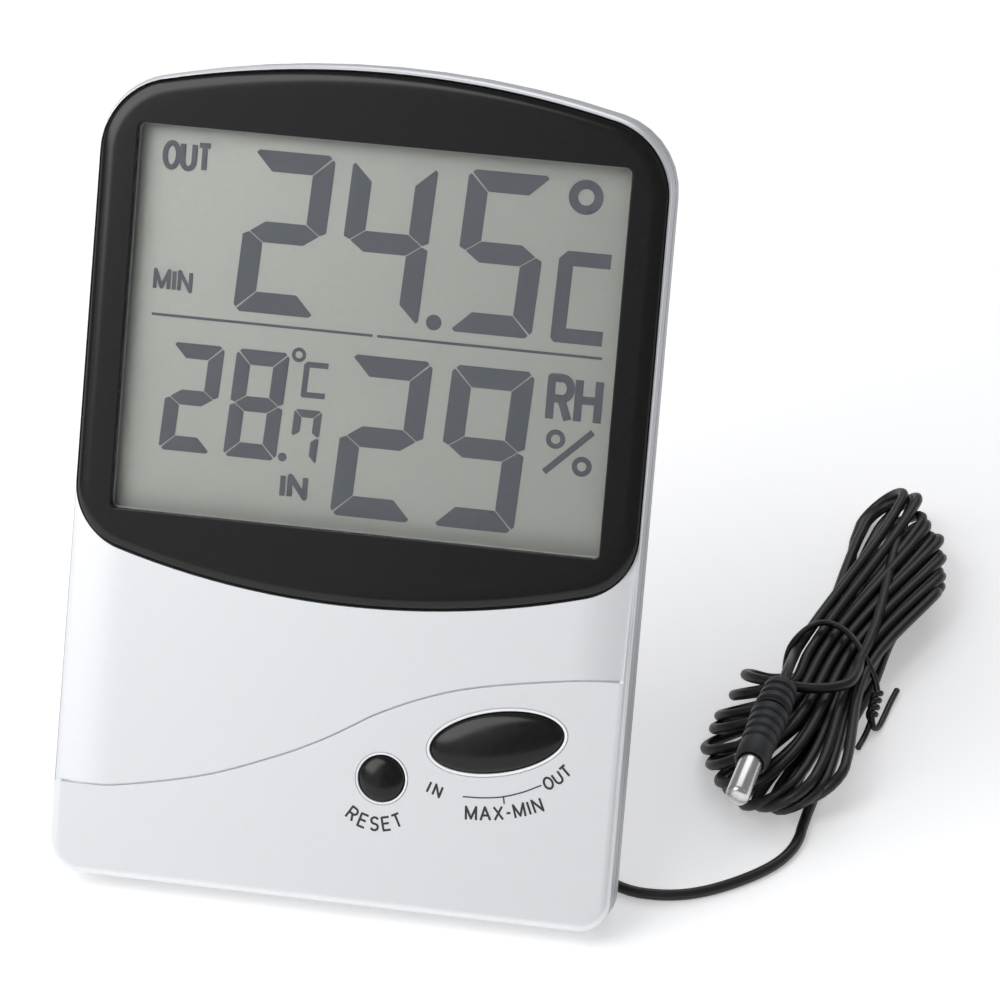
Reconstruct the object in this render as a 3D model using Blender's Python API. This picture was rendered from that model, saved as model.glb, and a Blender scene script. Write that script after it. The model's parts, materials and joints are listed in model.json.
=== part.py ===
"""Maximum minimum thermometer: a desk display with a fold-out stand and a tied sensor lead.

World frame: +Z up, the display faces -Y, X runs to the right, metres. The thermometer leans back
on its stand. Everything in the case is modelled in the case's own frame, which the empty
"case_frame" tilts: x to the right, y into the case from its front face, z up the front face.
"""
import math

import bmesh
import bpy
from mathutils import Matrix, Vector

# ---------------------------------------------------------------- driving dimensions (metres)
LEAN = math.radians(26.0)          # how far the front face leans back from upright
FRONT_EDGE_LIFT = 0.00485          # the front face's lower edge above the table
BOX_CENTRE_SHIFT = -0.04275        # puts the middle of the standing case over the origin
GAP = 0.0003                       # clearance between pieces that touch

CASE_WIDTH = 0.110
CASE_HEIGHT = 0.160
CASE_DEPTH = 0.020
ARCH_RADIUS = 0.190                # the crown of the top edge
TOP_CORNER_RADIUS = 0.015
BOTTOM_CORNER_RADIUS = 0.006
FRONT_EDGE_RADIUS = 0.0015
PARTING_DEPTH = 0.007              # where the front and rear shells meet
REAR_ROUND_START = 0.011
REAR_ROUND = CASE_DEPTH - REAR_ROUND_START
WALL = 0.0018
FRONT_WALL = 0.003                 # front shell's thickness behind the display
CONTROL_WALL = 0.002               # and behind the buttons

BEZEL_HALF_WIDTH = 0.0545
BEZEL_TOP = 0.1590
BEZEL_BOTTOM = 0.0578
BEZEL_SWEEP_RADIUS = 0.165         # the curve of the bezel's lower edge
BEZEL_LOWER_CORNER = 0.0125
BEZEL_TOP_CORNER = 0.0145
BEZEL_FRONT = -0.0006              # the bezel stands a little proud of the case
BEZEL_BACK = 0.0012
BEZEL_EDGE_RADIUS = 0.0015
BEZEL_SEAT = 0.0015

WINDOW_HALF_WIDTH = 0.0474
WINDOW_LOW = 0.0718
WINDOW_HIGH = 0.1457

LCD_HALF_WIDTH = 0.0489
LCD_LOW = 0.0702
LCD_HIGH = 0.1472
LCD_FRONT = 0.0033
LCD_BACK = 0.0061
FRAME_BACK = 0.0079

BOARD_FRONT = 0.0082
BOARD_BACK = 0.0094
BOARD_LOW = 0.018
BOARD_LEFT = -0.0220
BOARD_HALF_WIDTH = 0.0505

RESET_CENTRE = (0.00927, 0.02527)
RESET_RADIUS = 0.00435
OVAL_CENTRE = (0.0309, 0.0347)
OVAL_LONG = 0.0124
OVAL_SHORT = 0.0054
OVAL_TILT = math.radians(13.6)
BUTTON_RING = 0.0003               # gap round each button
BUTTON_CROWN = 0.0014              # how far the domes stand out of the face
SELECTOR_PIVOT_DEPTH = 0.0034

CELL_DIAMETER = 0.0105
CELL_LENGTH = 0.0445
CELL_CENTRES = (-0.0400, -0.0292)
CELL_DEPTH = 0.01285
BAY_LOW = 0.0150
BAY_HIGH = 0.0658
BAY_LEFT = -0.0458
BAY_RIGHT = -0.0236
BAY_FLOOR = 0.0060
BAY_WALL = 0.0011
DOOR_THICKNESS = 0.0015
DOOR_HEEL = 0.0010                 # from the door's hinge axis to its lower edge

STAND_PIVOT_DEPTH = 0.0178
STAND_PIVOT_HEIGHT = 0.074
STAND_LENGTH = 0.067
STAND_HALF_WIDTH = 0.019
STAND_THICKNESS = 0.0032
STAND_HEEL = 0.0030
POCKET_FLOOR = 0.0160

CASE_SCREWS = ((-0.0430, 0.0098), (0.0430, 0.0098), (-0.0240, 0.1528), (0.0240, 0.1528))
BOARD_SCREWS = ((-0.0185, 0.0215), (0.0465, 0.0225), (-0.0185, 0.0640), (0.0465, 0.0640))
SWITCH_CENTRES = {
    "tact_switch_reset": RESET_CENTRE,
    "tact_switch_in": (0.0219, 0.0325),
    "tact_switch_out": (0.0399, 0.0369),
}
UNIT_SWITCH = (0.0360, 0.0500)

CABLE_RADIUS = 0.0011
CABLE_EXIT = (0.030, 0.016)
GROMMET_REACH = 0.0050

# Route of the free lead, from the grommet over the table to the hank (world frame).
LEAD_ROUTE = (
    (0.0300, -0.01300, 0.00814),
    (0.0300, -0.01055, 0.00698),
    (0.0300, -0.00740, 0.00545),
    (0.0309, -0.00420, 0.00385),
    (0.0335, -0.00190, 0.00235),
    (0.0372, -0.00210, 0.00145),
    (0.0409, -0.00520, 0.00115),
    (0.0441, -0.01020, 0.00112),
    (0.0473, -0.01570, 0.00112),
    (0.0513, -0.02060, 0.00112),
    (0.0563, -0.02310, 0.00112),
    (0.0612, -0.02345, 0.00112),
    (0.0660, -0.02260, 0.00112),
    (0.0707, -0.02050, 0.00112),
    (0.0755, -0.01710, 0.00112),
    (0.0800, -0.01290, 0.00112),
    (0.0833, -0.00860, 0.00112),
    (0.0853, -0.00410, 0.00112),
    (0.0861, 0.00000, 0.00112),
    (0.0862, 0.00260, 0.00112),
)
HANK_HEIGHT = 0.0108
HANK_NEAR = (0.0778, 0.0140)       # centres of the hank's round ends on the table
HANK_FAR = (0.0950, 0.1085)
HANK_NEAR_RADIUS = 0.0130
HANK_FAR_RADIUS = 0.0115
HANK_WAIST = 0.0092
TIE_RADIUS = 0.00065
PROBE_REAR = (0.0781, 0.0300, 0.0152)
PROBE_FRONT = (0.0743, -0.0073, 0.0145)
SLEEVE_LENGTH = 0.0262
PROBE_TUBE_RADIUS = 0.00235
# Route of the last stretch of lead, from the sleeve's rear end down to the hank (world frame).
PROBE_LEAD_ROUTE = (
    (0.07816, 0.03065, 0.01521),
    (0.07840, 0.03380, 0.01515),
    (0.08010, 0.03720, 0.01500),
    (0.08380, 0.03860, 0.01470),
    (0.08740, 0.03630, 0.01410),
    (0.08910, 0.03220, 0.01330),
    (0.08940, 0.02800, 0.01270),
)

SIDES = 32                         # facets round a cylinder
ARC_STEP = math.radians(11.25)


# ---------------------------------------------------------------- helpers
def clear_scene():
    for old in list(bpy.data.objects):
        bpy.data.objects.remove(old, do_unlink=True)


def make_material(name, colour, roughness, metallic=0.0, transmission=0.0):
    result = bpy.data.materials.new(name)
    result.use_nodes = True
    shader = result.node_tree.nodes["Principled BSDF"]
    shader.inputs["Base Color"].default_value = (*colour, 1.0)
    shader.inputs["Roughness"].default_value = roughness
    shader.inputs["Metallic"].default_value = metallic
    shader.inputs["Transmission Weight"].default_value = transmission
    return result


def make_empty(name, location, tilt, parent=None):
    """An empty turned by tilt about X, to carry the pieces of one frame."""
    empty = bpy.data.objects.new(name, None)
    bpy.context.collection.objects.link(empty)
    empty.parent = parent
    empty.location = location
    empty.rotation_euler = (tilt, 0.0, 0.0)
    return empty


def make_object(name, bm, material, parent, location=(0.0, 0.0, 0.0), smooth=math.radians(32.0)):
    """Turn a bmesh into a named object with outward faces."""
    bmesh.ops.recalc_face_normals(bm, faces=bm.faces)
    mesh = bpy.data.meshes.new(name)
    bm.to_mesh(mesh)
    bm.free()
    mesh.materials.append(material)
    mesh.shade_smooth()
    mesh.set_sharp_from_angle(angle=smooth)
    result = bpy.data.objects.new(name, mesh)
    bpy.context.collection.objects.link(result)
    result.parent = parent
    result.location = location
    return result


def make_tool(name, bm, parent):
    """A shape that only cuts or joins others: it isn't a piece of the object."""
    result = make_object(name, bm, TOOL_MATERIAL, parent)
    result.hide_render = True
    result.display_type = "WIRE"
    return result


def apply_tool(target, tool, operation):
    modifier = target.modifiers.new(tool.name, "BOOLEAN")
    modifier.operation = operation
    modifier.solver = "EXACT"
    modifier.object = tool


def arc(centre, radius, start, end):
    """Points on an arc from one angle to another, both ends included."""
    count = max(2, round(abs(end - start) / ARC_STEP))
    angles = [start + (end - start) * step / count for step in range(count + 1)]
    return [(centre[0] + radius * math.cos(a), centre[1] + radius * math.sin(a)) for a in angles]


def crowned_outline(half_width, bottom, top, low_radius, top_radius, crown, sweep=None):
    """Closed outline with a crowned top; its lower edge is straight, or bows down by sweep."""
    crown_centre = top - crown
    reach = half_width - top_radius
    corner_height = crown_centre + math.sqrt((crown - top_radius) ** 2 - reach ** 2)
    lean = math.atan2(reach, corner_height - crown_centre)
    if sweep is None:
        low_height = bottom + low_radius
        low_lean = 0.0
    else:
        low_reach = half_width - low_radius
        drop = math.sqrt((sweep - low_radius) ** 2 - low_reach ** 2)
        low_height = bottom + sweep - drop
        low_lean = math.atan2(low_reach, drop)
    quarter = math.pi / 2
    right = half_width - low_radius
    points = arc((right, low_height), low_radius, -quarter + low_lean, 0.0)
    points += arc((reach, corner_height), top_radius, 0.0, quarter - lean)
    steps = 10
    for step in range(1, steps):
        angle = lean - 2 * lean * step / steps
        points.append((crown * math.sin(angle), crown_centre + crown * math.cos(angle)))
    points += arc((-reach, corner_height), top_radius, quarter + lean, math.pi)
    points += arc((-right, low_height), low_radius, math.pi, 3 * quarter - low_lean)
    if sweep is not None:
        for step in range(1, steps):
            angle = -low_lean + 2 * low_lean * step / steps
            points.append((sweep * math.sin(angle), bottom + sweep - sweep * math.cos(angle)))
    return points


def case_outline(inset):
    """The case seen from the front, drawn in by inset all round."""
    return crowned_outline(
        CASE_WIDTH / 2 - inset,
        inset,
        CASE_HEIGHT - inset,
        max(BOTTOM_CORNER_RADIUS - inset, 0.0008),
        TOP_CORNER_RADIUS - inset,
        ARCH_RADIUS - inset,
    )


def bezel_outline(inset):
    return crowned_outline(
        BEZEL_HALF_WIDTH - inset,
        BEZEL_BOTTOM + inset,
        BEZEL_TOP - inset,
        BEZEL_LOWER_CORNER - inset,
        BEZEL_TOP_CORNER - inset,
        ARCH_RADIUS - inset,
        BEZEL_SWEEP_RADIUS - inset,
    )


def rectangle(left, low, right, high, radius=0.0):
    """Rectangle in x and z, with round corners if radius is given."""
    if radius == 0.0:
        return [(left, low), (right, low), (right, high), (left, high)]
    quarter = math.pi / 2
    points = arc((right - radius, low + radius), radius, -quarter, 0.0)
    points += arc((right - radius, high - radius), radius, 0.0, quarter)
    points += arc((left + radius, high - radius), radius, quarter, 2 * quarter)
    points += arc((left + radius, low + radius), radius, 2 * quarter, 3 * quarter)
    return points


def ellipse(centre, long_radius, short_radius, tilt, sides=SIDES):
    points = []
    for side in range(sides):
        angle = 2 * math.pi * side / sides
        along = long_radius * math.cos(angle)
        across = short_radius * math.sin(angle)
        x = centre[0] + along * math.cos(tilt) - across * math.sin(tilt)
        z = centre[1] + along * math.sin(tilt) + across * math.cos(tilt)
        points.append((x, z))
    return points


def circle(centre, radius, sides=SIDES):
    return ellipse(centre, radius, radius, 0.0, sides)


def add_loft(bm, sections):
    """Join outlines of equal point counts, each at its own depth, into one closed body."""
    rings = []
    for outline, depth in sections:
        rings.append([bm.verts.new((x, depth, z)) for x, z in outline])
    for lower, upper in zip(rings, rings[1:]):
        count = len(lower)
        for index in range(count):
            after = (index + 1) % count
            bm.faces.new((lower[index], lower[after], upper[after], upper[index]))
    bm.faces.new(rings[0])
    bm.faces.new(reversed(rings[-1]))


def add_prism(bm, outline, start, end):
    add_loft(bm, ((outline, start), (outline, end)))


def add_box(bm, low, high):
    add_prism(bm, rectangle(low[0], low[2], high[0], high[2]), low[1], high[1])


def add_profile(bm, left, right, profile):
    """A body of constant section along x; its profile is given in y and z."""
    ends = [[bm.verts.new((x, y, z)) for y, z in profile] for x in (left, right)]
    for index in range(len(profile)):
        after = (index + 1) % len(profile)
        bm.faces.new((ends[0][index], ends[0][after], ends[1][after], ends[1][index]))
    bm.faces.new(ends[0])
    bm.faces.new(ends[1])


def add_turned(bm, profile, origin, direction, sides=SIDES):
    """Turn a profile of (distance along, radius) about a line from origin."""
    turn = Vector(direction).to_track_quat("Z", "Y").to_matrix().to_4x4()
    place = Matrix.Translation(Vector(origin)) @ turn
    rings = []
    for along, radius in profile:
        if radius == 0.0:
            rings.append([bm.verts.new(place @ Vector((0.0, 0.0, along)))])
            continue
        ring = []
        for side in range(sides):
            angle = 2 * math.pi * side / sides
            point = Vector((radius * math.cos(angle), radius * math.sin(angle), along))
            ring.append(bm.verts.new(place @ point))
        rings.append(ring)
    for lower, upper in zip(rings, rings[1:]):
        for side in range(sides):
            after = (side + 1) % sides
            corners = [lower[side % len(lower)], lower[after % len(lower)],
                       upper[after % len(upper)], upper[side % len(upper)]]
            bm.faces.new(list(dict.fromkeys(corners)))
    for ring in (rings[0], rings[-1]):
        if len(ring) > 1:
            bm.faces.new(ring)


def add_pin(bm, centre, radius, start, end, sides=SIDES):
    """A plain cylinder along the case's depth."""
    add_turned(bm, ((start, radius), (end, radius)), (centre[0], 0.0, centre[1]), (0, 1, 0), sides)


def smooth_route(points, spacing):
    """Evenly spaced points on the smooth curve through a route's own points."""
    route = [Vector(point) for point in points]
    route = [2 * route[0] - route[1]] + route + [2 * route[-1] - route[-2]]
    fine = []
    for before, start, end, after in zip(route, route[1:], route[2:], route[3:]):
        for step in range(24):
            t = step / 24
            fine.append(0.5 * (2 * start + (end - before) * t
                               + (2 * before - 5 * start + 4 * end - after) * t ** 2
                               + (3 * start - before - 3 * end + after) * t ** 3))
    fine.append(route[-2])
    total = sum((b - a).length for a, b in zip(fine, fine[1:]))
    count = max(2, round(total / spacing))
    result = [fine[0]]
    travelled = 0.0
    for a, b in zip(fine, fine[1:]):
        travelled += (b - a).length
        if travelled >= total * len(result) / count and len(result) < count:
            result.append(b)
    result.append(fine[-1])
    return result


def make_tube(name, points, radius, material, parent=None, resolution=2):
    """A round cord along a list of points, closed at both ends."""
    curve = bpy.data.curves.new(name, "CURVE")
    curve.dimensions = "3D"
    curve.bevel_depth = radius
    curve.bevel_resolution = resolution
    curve.use_fill_caps = True
    spline = curve.splines.new("POLY")
    spline.points.add(len(points) - 1)
    for point, place in zip(spline.points, points):
        point.co = (*place, 1.0)
    curve.materials.append(material)
    result = bpy.data.objects.new(name, curve)
    bpy.context.collection.objects.link(result)
    result.parent = parent
    return result


# ---------------------------------------------------------------- front of the case
def make_front_case():
    bm = bmesh.new()
    sections = []
    for degrees in (0, 30, 60, 90):
        angle = math.radians(degrees)
        inset = FRONT_EDGE_RADIUS * (1 - math.sin(angle))
        sections.append((case_outline(inset), FRONT_EDGE_RADIUS * (1 - math.cos(angle))))
    sections.append((case_outline(0.0), PARTING_DEPTH - GAP / 2))
    add_loft(bm, sections)
    case = make_object("front_case", bm, SILVER, CASE)

    cavity = bmesh.new()
    add_prism(cavity, case_outline(WALL), FRONT_WALL, PARTING_DEPTH + 0.002)
    apply_tool(case, make_tool("front_cavity", cavity, CASE), "DIFFERENCE")

    seat = bmesh.new()
    add_prism(seat, bezel_outline(-GAP / 2), -0.002, BEZEL_SEAT)
    add_box(seat, (-0.048, CONTROL_WALL, 0.004), (0.048, FRONT_WALL + 0.0005, 0.054))
    apply_tool(case, make_tool("bezel_seat", seat, CASE), "DIFFERENCE")

    posts = bmesh.new()
    for place, radius, top in ([(place, 0.0029, 0.0087) for place in CASE_SCREWS]
                               + [(place, 0.0024, BOARD_FRONT - GAP) for place in BOARD_SCREWS]):
        root = 0.0010 if place[1] < BEZEL_BOTTOM else 0.0022
        add_pin(posts, place, radius, root, top, 20)
    along = Vector((math.cos(OVAL_TILT), math.sin(OVAL_TILT)))
    across = Vector((-along.y, along.x))
    for side in (-1, 1):
        lug = Vector(OVAL_CENTRE) + across * side * (OVAL_SHORT + 0.0019)
        corners = [lug + along * a * 0.0024 + across * b * 0.0010
                   for a, b in ((-1, -1), (1, -1), (1, 1), (-1, 1))]
        add_prism(posts, [tuple(corner) for corner in corners], 0.0010, 0.0052)
    apply_tool(case, make_tool("front_posts", posts, CASE), "UNION")

    openings = bmesh.new()
    add_box(openings, (-0.0502, -0.002, 0.0690), (0.0502, 0.004, 0.1484))
    add_pin(openings, RESET_CENTRE, RESET_RADIUS + BUTTON_RING, -0.002, 0.004)
    hole = ellipse(OVAL_CENTRE, OVAL_LONG + 2 * BUTTON_RING, OVAL_SHORT + BUTTON_RING, OVAL_TILT)
    add_prism(openings, hole, -0.002, 0.0035)
    for place in CASE_SCREWS + BOARD_SCREWS:
        add_pin(openings, place, 0.0014, 0.0035, 0.010, 16)
    apply_tool(case, make_tool("front_openings", openings, CASE), "DIFFERENCE")

    pivot_holes = bmesh.new()
    start = Vector(OVAL_CENTRE) - across * (OVAL_SHORT + 0.004)
    direction = (across[0], 0.0, across[1])
    length = 2 * (OVAL_SHORT + 0.004)
    add_turned(pivot_holes, ((0.0, 0.0011), (length, 0.0011)),
               (start[0], SELECTOR_PIVOT_DEPTH, start[1]), direction, 16)
    apply_tool(case, make_tool("selector_pivot_holes", pivot_holes, CASE), "DIFFERENCE")
    return case


def make_bezel():
    bm = bmesh.new()
    sections = []
    for degrees in (0, 30, 60, 90):
        angle = math.radians(degrees)
        inset = BEZEL_EDGE_RADIUS * (1 - math.sin(angle))
        depth = BEZEL_FRONT + BEZEL_EDGE_RADIUS * (1 - math.cos(angle))
        sections.append((bezel_outline(inset), depth))
    sections.append((bezel_outline(0.0), BEZEL_BACK))
    add_loft(bm, sections)
    bezel = make_object("display_bezel", bm, BLACK_GLOSS, CASE)

    opening = bmesh.new()
    add_prism(opening, rectangle(-WINDOW_HALF_WIDTH, WINDOW_LOW, WINDOW_HALF_WIDTH, WINDOW_HIGH,
                                 0.0016), -0.003, 0.004)
    apply_tool(bezel, make_tool("window_opening", opening, CASE), "DIFFERENCE")

    window = bmesh.new()
    add_prism(window, rectangle(-0.0499, 0.0693, 0.0499, 0.1481, 0.002),
              BEZEL_BACK + GAP, BEZEL_BACK + GAP + 0.001)
    make_object("display_window", window, CLEAR, CASE)


def make_display():
    panel = bmesh.new()
    add_box(panel, (-LCD_HALF_WIDTH, LCD_FRONT, LCD_LOW), (LCD_HALF_WIDTH, LCD_BACK, LCD_HIGH))
    make_object("lcd_panel", panel, LCD_GREY, CASE)

    right = [(0.0526, 0.0678), (0.0526, 0.1430), (0.0495, 0.1490)]
    outline = right + [(-x, z) for x, z in reversed(right)]
    frame = bmesh.new()
    add_prism(frame, outline, LCD_FRONT, FRAME_BACK)
    frame = make_object("lcd_frame", frame, WHITE_PLASTIC, CASE)
    hole = bmesh.new()
    add_box(hole, (-LCD_HALF_WIDTH - GAP, 0.002, LCD_LOW - GAP),
            (LCD_HALF_WIDTH + GAP, 0.009, LCD_HIGH + GAP))
    apply_tool(frame, make_tool("lcd_frame_hole", hole, CASE), "DIFFERENCE")

    for name, low in (("zebra_strip_bottom", LCD_LOW + 0.0006), ("zebra_strip_top", LCD_HIGH - 0.0030)):
        strip = bmesh.new()
        add_box(strip, (-0.047, LCD_BACK + GAP, low), (0.047, FRAME_BACK, low + 0.0024))
        make_object(name, strip, RUBBER, CASE)


# ---------------------------------------------------------------- circuit board
def make_board():
    outline = [(BOARD_LEFT, BOARD_LOW), (BOARD_HALF_WIDTH, BOARD_LOW), (BOARD_HALF_WIDTH, 0.1440),
               (0.0478, 0.1488), (-0.0478, 0.1488), (-BOARD_HALF_WIDTH, 0.1440),
               (-BOARD_HALF_WIDTH, 0.0682), (BOARD_LEFT, 0.0682)]
    bm = bmesh.new()
    add_prism(bm, outline, BOARD_FRONT, BOARD_BACK)
    board = make_object("circuit_board", bm, BOARD_GREEN, CASE)
    holes = bmesh.new()
    for place in BOARD_SCREWS:
        add_pin(holes, place, 0.0014, BOARD_FRONT - 0.001, BOARD_BACK + 0.001, 16)
    apply_tool(board, make_tool("board_holes", holes, CASE), "DIFFERENCE")

    for name, (x, z) in SWITCH_CENTRES.items():
        switch = bmesh.new()
        add_box(switch, (x - 0.003, 0.0057, z - 0.003), (x + 0.003, BOARD_FRONT - GAP, z + 0.003))
        switch = make_object(name, switch, BLACK_GLOSS, CASE)
        nub = bmesh.new()
        add_pin(nub, (x, z), 0.0013, 0.0050, 0.0062, 16)
        apply_tool(switch, make_tool(name + "_nub", nub, CASE), "UNION")

    back = BOARD_BACK + GAP
    chip = bmesh.new()
    add_turned(chip, ((0.0, 0.0075), (0.0006, 0.0070), (0.0012, 0.0050), (0.0014, 0.0)),
               (0.004, back, 0.105), (0, 1, 0), 24)
    make_object("controller_chip", chip, RUBBER, CASE)
    crystal = bmesh.new()
    add_turned(crystal, ((0.0, 0.0010), (0.006, 0.0010)), (0.018, back + 0.0010, 0.098), (0, 0, 1), 16)
    make_object("clock_crystal", crystal, STEEL, CASE)
    humidity = bmesh.new()
    add_box(humidity, (0.029, back, 0.120), (0.037, back + 0.0025, 0.130))
    make_object("humidity_sensor", humidity, WHITE_PLASTIC, CASE)
    bead = bmesh.new()
    add_turned(bead, ((0.0, 0.0), (0.0003, 0.0009), (0.0013, 0.0013), (0.0024, 0.0009), (0.0030, 0.0)),
               (0.044, back, 0.125), (0, 1, 0), 16)
    make_object("room_thermistor", bead, RUBBER, CASE)

    x, z = UNIT_SWITCH
    body = bmesh.new()
    add_box(body, (x - 0.0045, back, z - 0.0021), (x + 0.0045, 0.0134, z + 0.0021))
    make_object("unit_switch_body", body, STEEL, CASE)
    knob = bmesh.new()
    add_box(knob, (-0.0024, 0.0, -0.0012), (0.0004, 0.0059, 0.0012))
    make_object("unit_switch_knob", knob, BLACK_GLOSS, CASE, (x, 0.0137, z))


def make_screws():
    for index, (x, z) in enumerate(BOARD_SCREWS, 1):
        bm = bmesh.new()
        profile = ((0.0050, 0.0), (0.0050, 0.0011), (BOARD_BACK + GAP, 0.0011),
                   (BOARD_BACK + GAP, 0.0020), (0.0107, 0.0018), (0.0111, 0.0010), (0.0111, 0.0))
        add_turned(bm, profile, (x, 0.0, z), (0, 1, 0), 16)
        make_object(f"board_screw_{index}", bm, STEEL, CASE)
    for index, (x, z) in enumerate(CASE_SCREWS, 1):
        bm = bmesh.new()
        profile = ((0.0045, 0.0), (0.0045, 0.0011), (0.0112, 0.0011), (0.0112, 0.0023),
                   (0.0124, 0.0021), (0.0130, 0.0012), (0.0130, 0.0))
        add_turned(bm, profile, (x, 0.0, z), (0, 1, 0), 16)
        make_object(f"case_screw_{index}", bm, STEEL, CASE)


# ---------------------------------------------------------------- buttons
def make_buttons():
    dome = ((-BUTTON_CROWN, 0.0), (-0.0013, 0.0014), (-0.0009, 0.0028), (-0.0003, 0.0039),
            (0.0003, RESET_RADIUS), (CONTROL_WALL + GAP, RESET_RADIUS),
            (CONTROL_WALL + GAP, 0.0056), (0.0032, 0.0056), (0.0032, 0.0016), (0.0040, 0.0016),
            (0.0040, 0.0))
    bm = bmesh.new()
    add_turned(bm, dome, (0.0, 0.0, 0.0), (0, 1, 0))
    make_object("reset_button", bm, BLACK_GLOSS, CASE, (RESET_CENTRE[0], 0.0, RESET_CENTRE[1]))

    # The selector is modelled about its rocking axis, which passes behind the front wall.
    sections = []
    for height, scale in ((BUTTON_CROWN, 0.30), (0.0012, 0.60), (0.0007, 0.85), (0.0, 0.97),
                          (-0.0004, 1.0), (-0.0044, 1.0)):
        outline = ellipse((0.0, 0.0), OVAL_LONG * scale, OVAL_SHORT * scale, OVAL_TILT)
        sections.append((outline, -height - SELECTOR_PIVOT_DEPTH))
    bm = bmesh.new()
    add_loft(bm, sections)
    place = (OVAL_CENTRE[0], SELECTOR_PIVOT_DEPTH, OVAL_CENTRE[1])
    selector = make_object("selector_button", bm, BLACK_GLOSS, CASE, place)
    across = (-math.sin(OVAL_TILT), 0.0, math.cos(OVAL_TILT))
    reach = OVAL_SHORT + 0.0026
    axle = bmesh.new()
    add_turned(axle, ((-reach, 0.0008), (reach, 0.0008)), (0.0, 0.0, 0.0), across, 16)
    axle = make_tool("selector_axle", axle, CASE)
    axle.location = place
    apply_tool(selector, axle, "UNION")


# ---------------------------------------------------------------- back of the case
def rear_sections(wall, front):
    """Outlines of the rear shell's outer or inner skin, rounding over to its back face."""
    sections = [(case_outline(wall), front), (case_outline(wall), REAR_ROUND_START)]
    radius = REAR_ROUND - wall
    for degrees in (18, 36, 54, 72, 90):
        angle = math.radians(degrees)
        inset = wall + radius * (1 - math.cos(angle))
        sections.append((case_outline(inset), REAR_ROUND_START + radius * math.sin(angle)))
    return sections


def make_rear_case():
    bm = bmesh.new()
    add_loft(bm, rear_sections(0.0, PARTING_DEPTH + GAP / 2))
    case = make_object("rear_case", bm, SILVER, CASE)

    # Blocks that stay solid when the inside is hollowed out.
    blocks = bmesh.new()
    add_box(blocks, (BAY_LEFT - BAY_WALL, 0.0000, BAY_LOW - BAY_WALL),
            (BAY_RIGHT + BAY_WALL, 0.0300, BAY_HIGH + BAY_WALL))
    for place in CASE_SCREWS:
        add_pin(blocks, place, 0.0034, 0.0090, 0.0300, 20)
    stand_block = bmesh.new()
    add_profile(stand_block, -0.0230, 0.0230, ((0.0143, 0.0010), (0.0300, 0.0010),
                                               (0.0300, 0.0800), (0.0122, 0.0800),
                                               (0.0122, 0.0690), (0.0143, 0.0690)))
    cavity = bmesh.new()
    add_loft(cavity, rear_sections(WALL, PARTING_DEPTH - 0.001))
    cavity = make_tool("rear_cavity", cavity, CASE)
    apply_tool(cavity, make_tool("rear_blocks", blocks, CASE), "DIFFERENCE")
    apply_tool(cavity, make_tool("stand_block", stand_block, CASE), "DIFFERENCE")
    apply_tool(case, cavity, "DIFFERENCE")
    bay = bmesh.new()
    add_box(bay, (BAY_LEFT - BAY_WALL, BAY_FLOOR, BAY_LOW - BAY_WALL),
            (BAY_RIGHT + BAY_WALL, PARTING_DEPTH + 0.0030, BAY_HIGH + BAY_WALL))
    apply_tool(case, make_tool("bay_box", bay, CASE), "UNION")

    pockets = bmesh.new()
    side = STAND_HALF_WIDTH + 0.0005
    add_profile(pockets, -side, side, ((POCKET_FLOOR, -0.0050), (0.0300, -0.0050),
                                       (0.0300, 0.0782), (0.0138, 0.0782),
                                       (0.0138, 0.0700), (POCKET_FLOOR, 0.0700)))
    add_box(pockets, (BAY_LEFT, BAY_FLOOR + BAY_WALL, BAY_LOW), (BAY_RIGHT, 0.0300, BAY_HIGH))
    for place in CASE_SCREWS:
        add_pin(pockets, place, 0.0026, 0.0109, 0.0300, 20)
    add_pin(pockets, CABLE_EXIT, 0.0026, 0.0150, 0.0300, 20)
    x, z = UNIT_SWITCH
    add_box(pockets, (x - 0.0030, 0.0150, z - 0.0016), (x + 0.0030, 0.0300, z + 0.0016))
    for row in range(5):
        low = 0.1160 + 0.0045 * row
        add_box(pockets, (0.0270, 0.0150, low), (0.0430, 0.0300, low + 0.0018))
    apply_tool(case, make_tool("rear_pockets", pockets, CASE), "DIFFERENCE")

    # The door's lower edge swings inwards as it opens, so its ledge is deeper there.
    hinge_groove = bmesh.new()
    add_box(hinge_groove, (BAY_LEFT - 0.0008, 0.0177, BAY_LOW - 0.0020),
            (BAY_RIGHT + 0.0008, 0.0300, BAY_LOW + 0.0005))
    apply_tool(case, make_tool("door_hinge_groove", hinge_groove, CASE), "DIFFERENCE")

    recesses = bmesh.new()
    add_box(recesses, (BAY_LEFT - 0.0008, CASE_DEPTH - DOOR_THICKNESS - GAP, BAY_LOW - 0.0020),
            (BAY_RIGHT + 0.0008, 0.0300, BAY_HIGH + 0.0009))
    for place in CASE_SCREWS:
        add_pin(recesses, place, 0.00145, 0.0080, 0.0150, 16)
    for side in (-1, 1):
        add_turned(recesses, ((0.0, 0.0015), (0.0021, 0.0015)),
                   (side * STAND_HALF_WIDTH, STAND_PIVOT_DEPTH, STAND_PIVOT_HEIGHT), (side, 0, 0), 20)
    apply_tool(case, make_tool("rear_recesses", recesses, CASE), "DIFFERENCE")
    apply_tool(case, GROUND, "DIFFERENCE")


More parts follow.
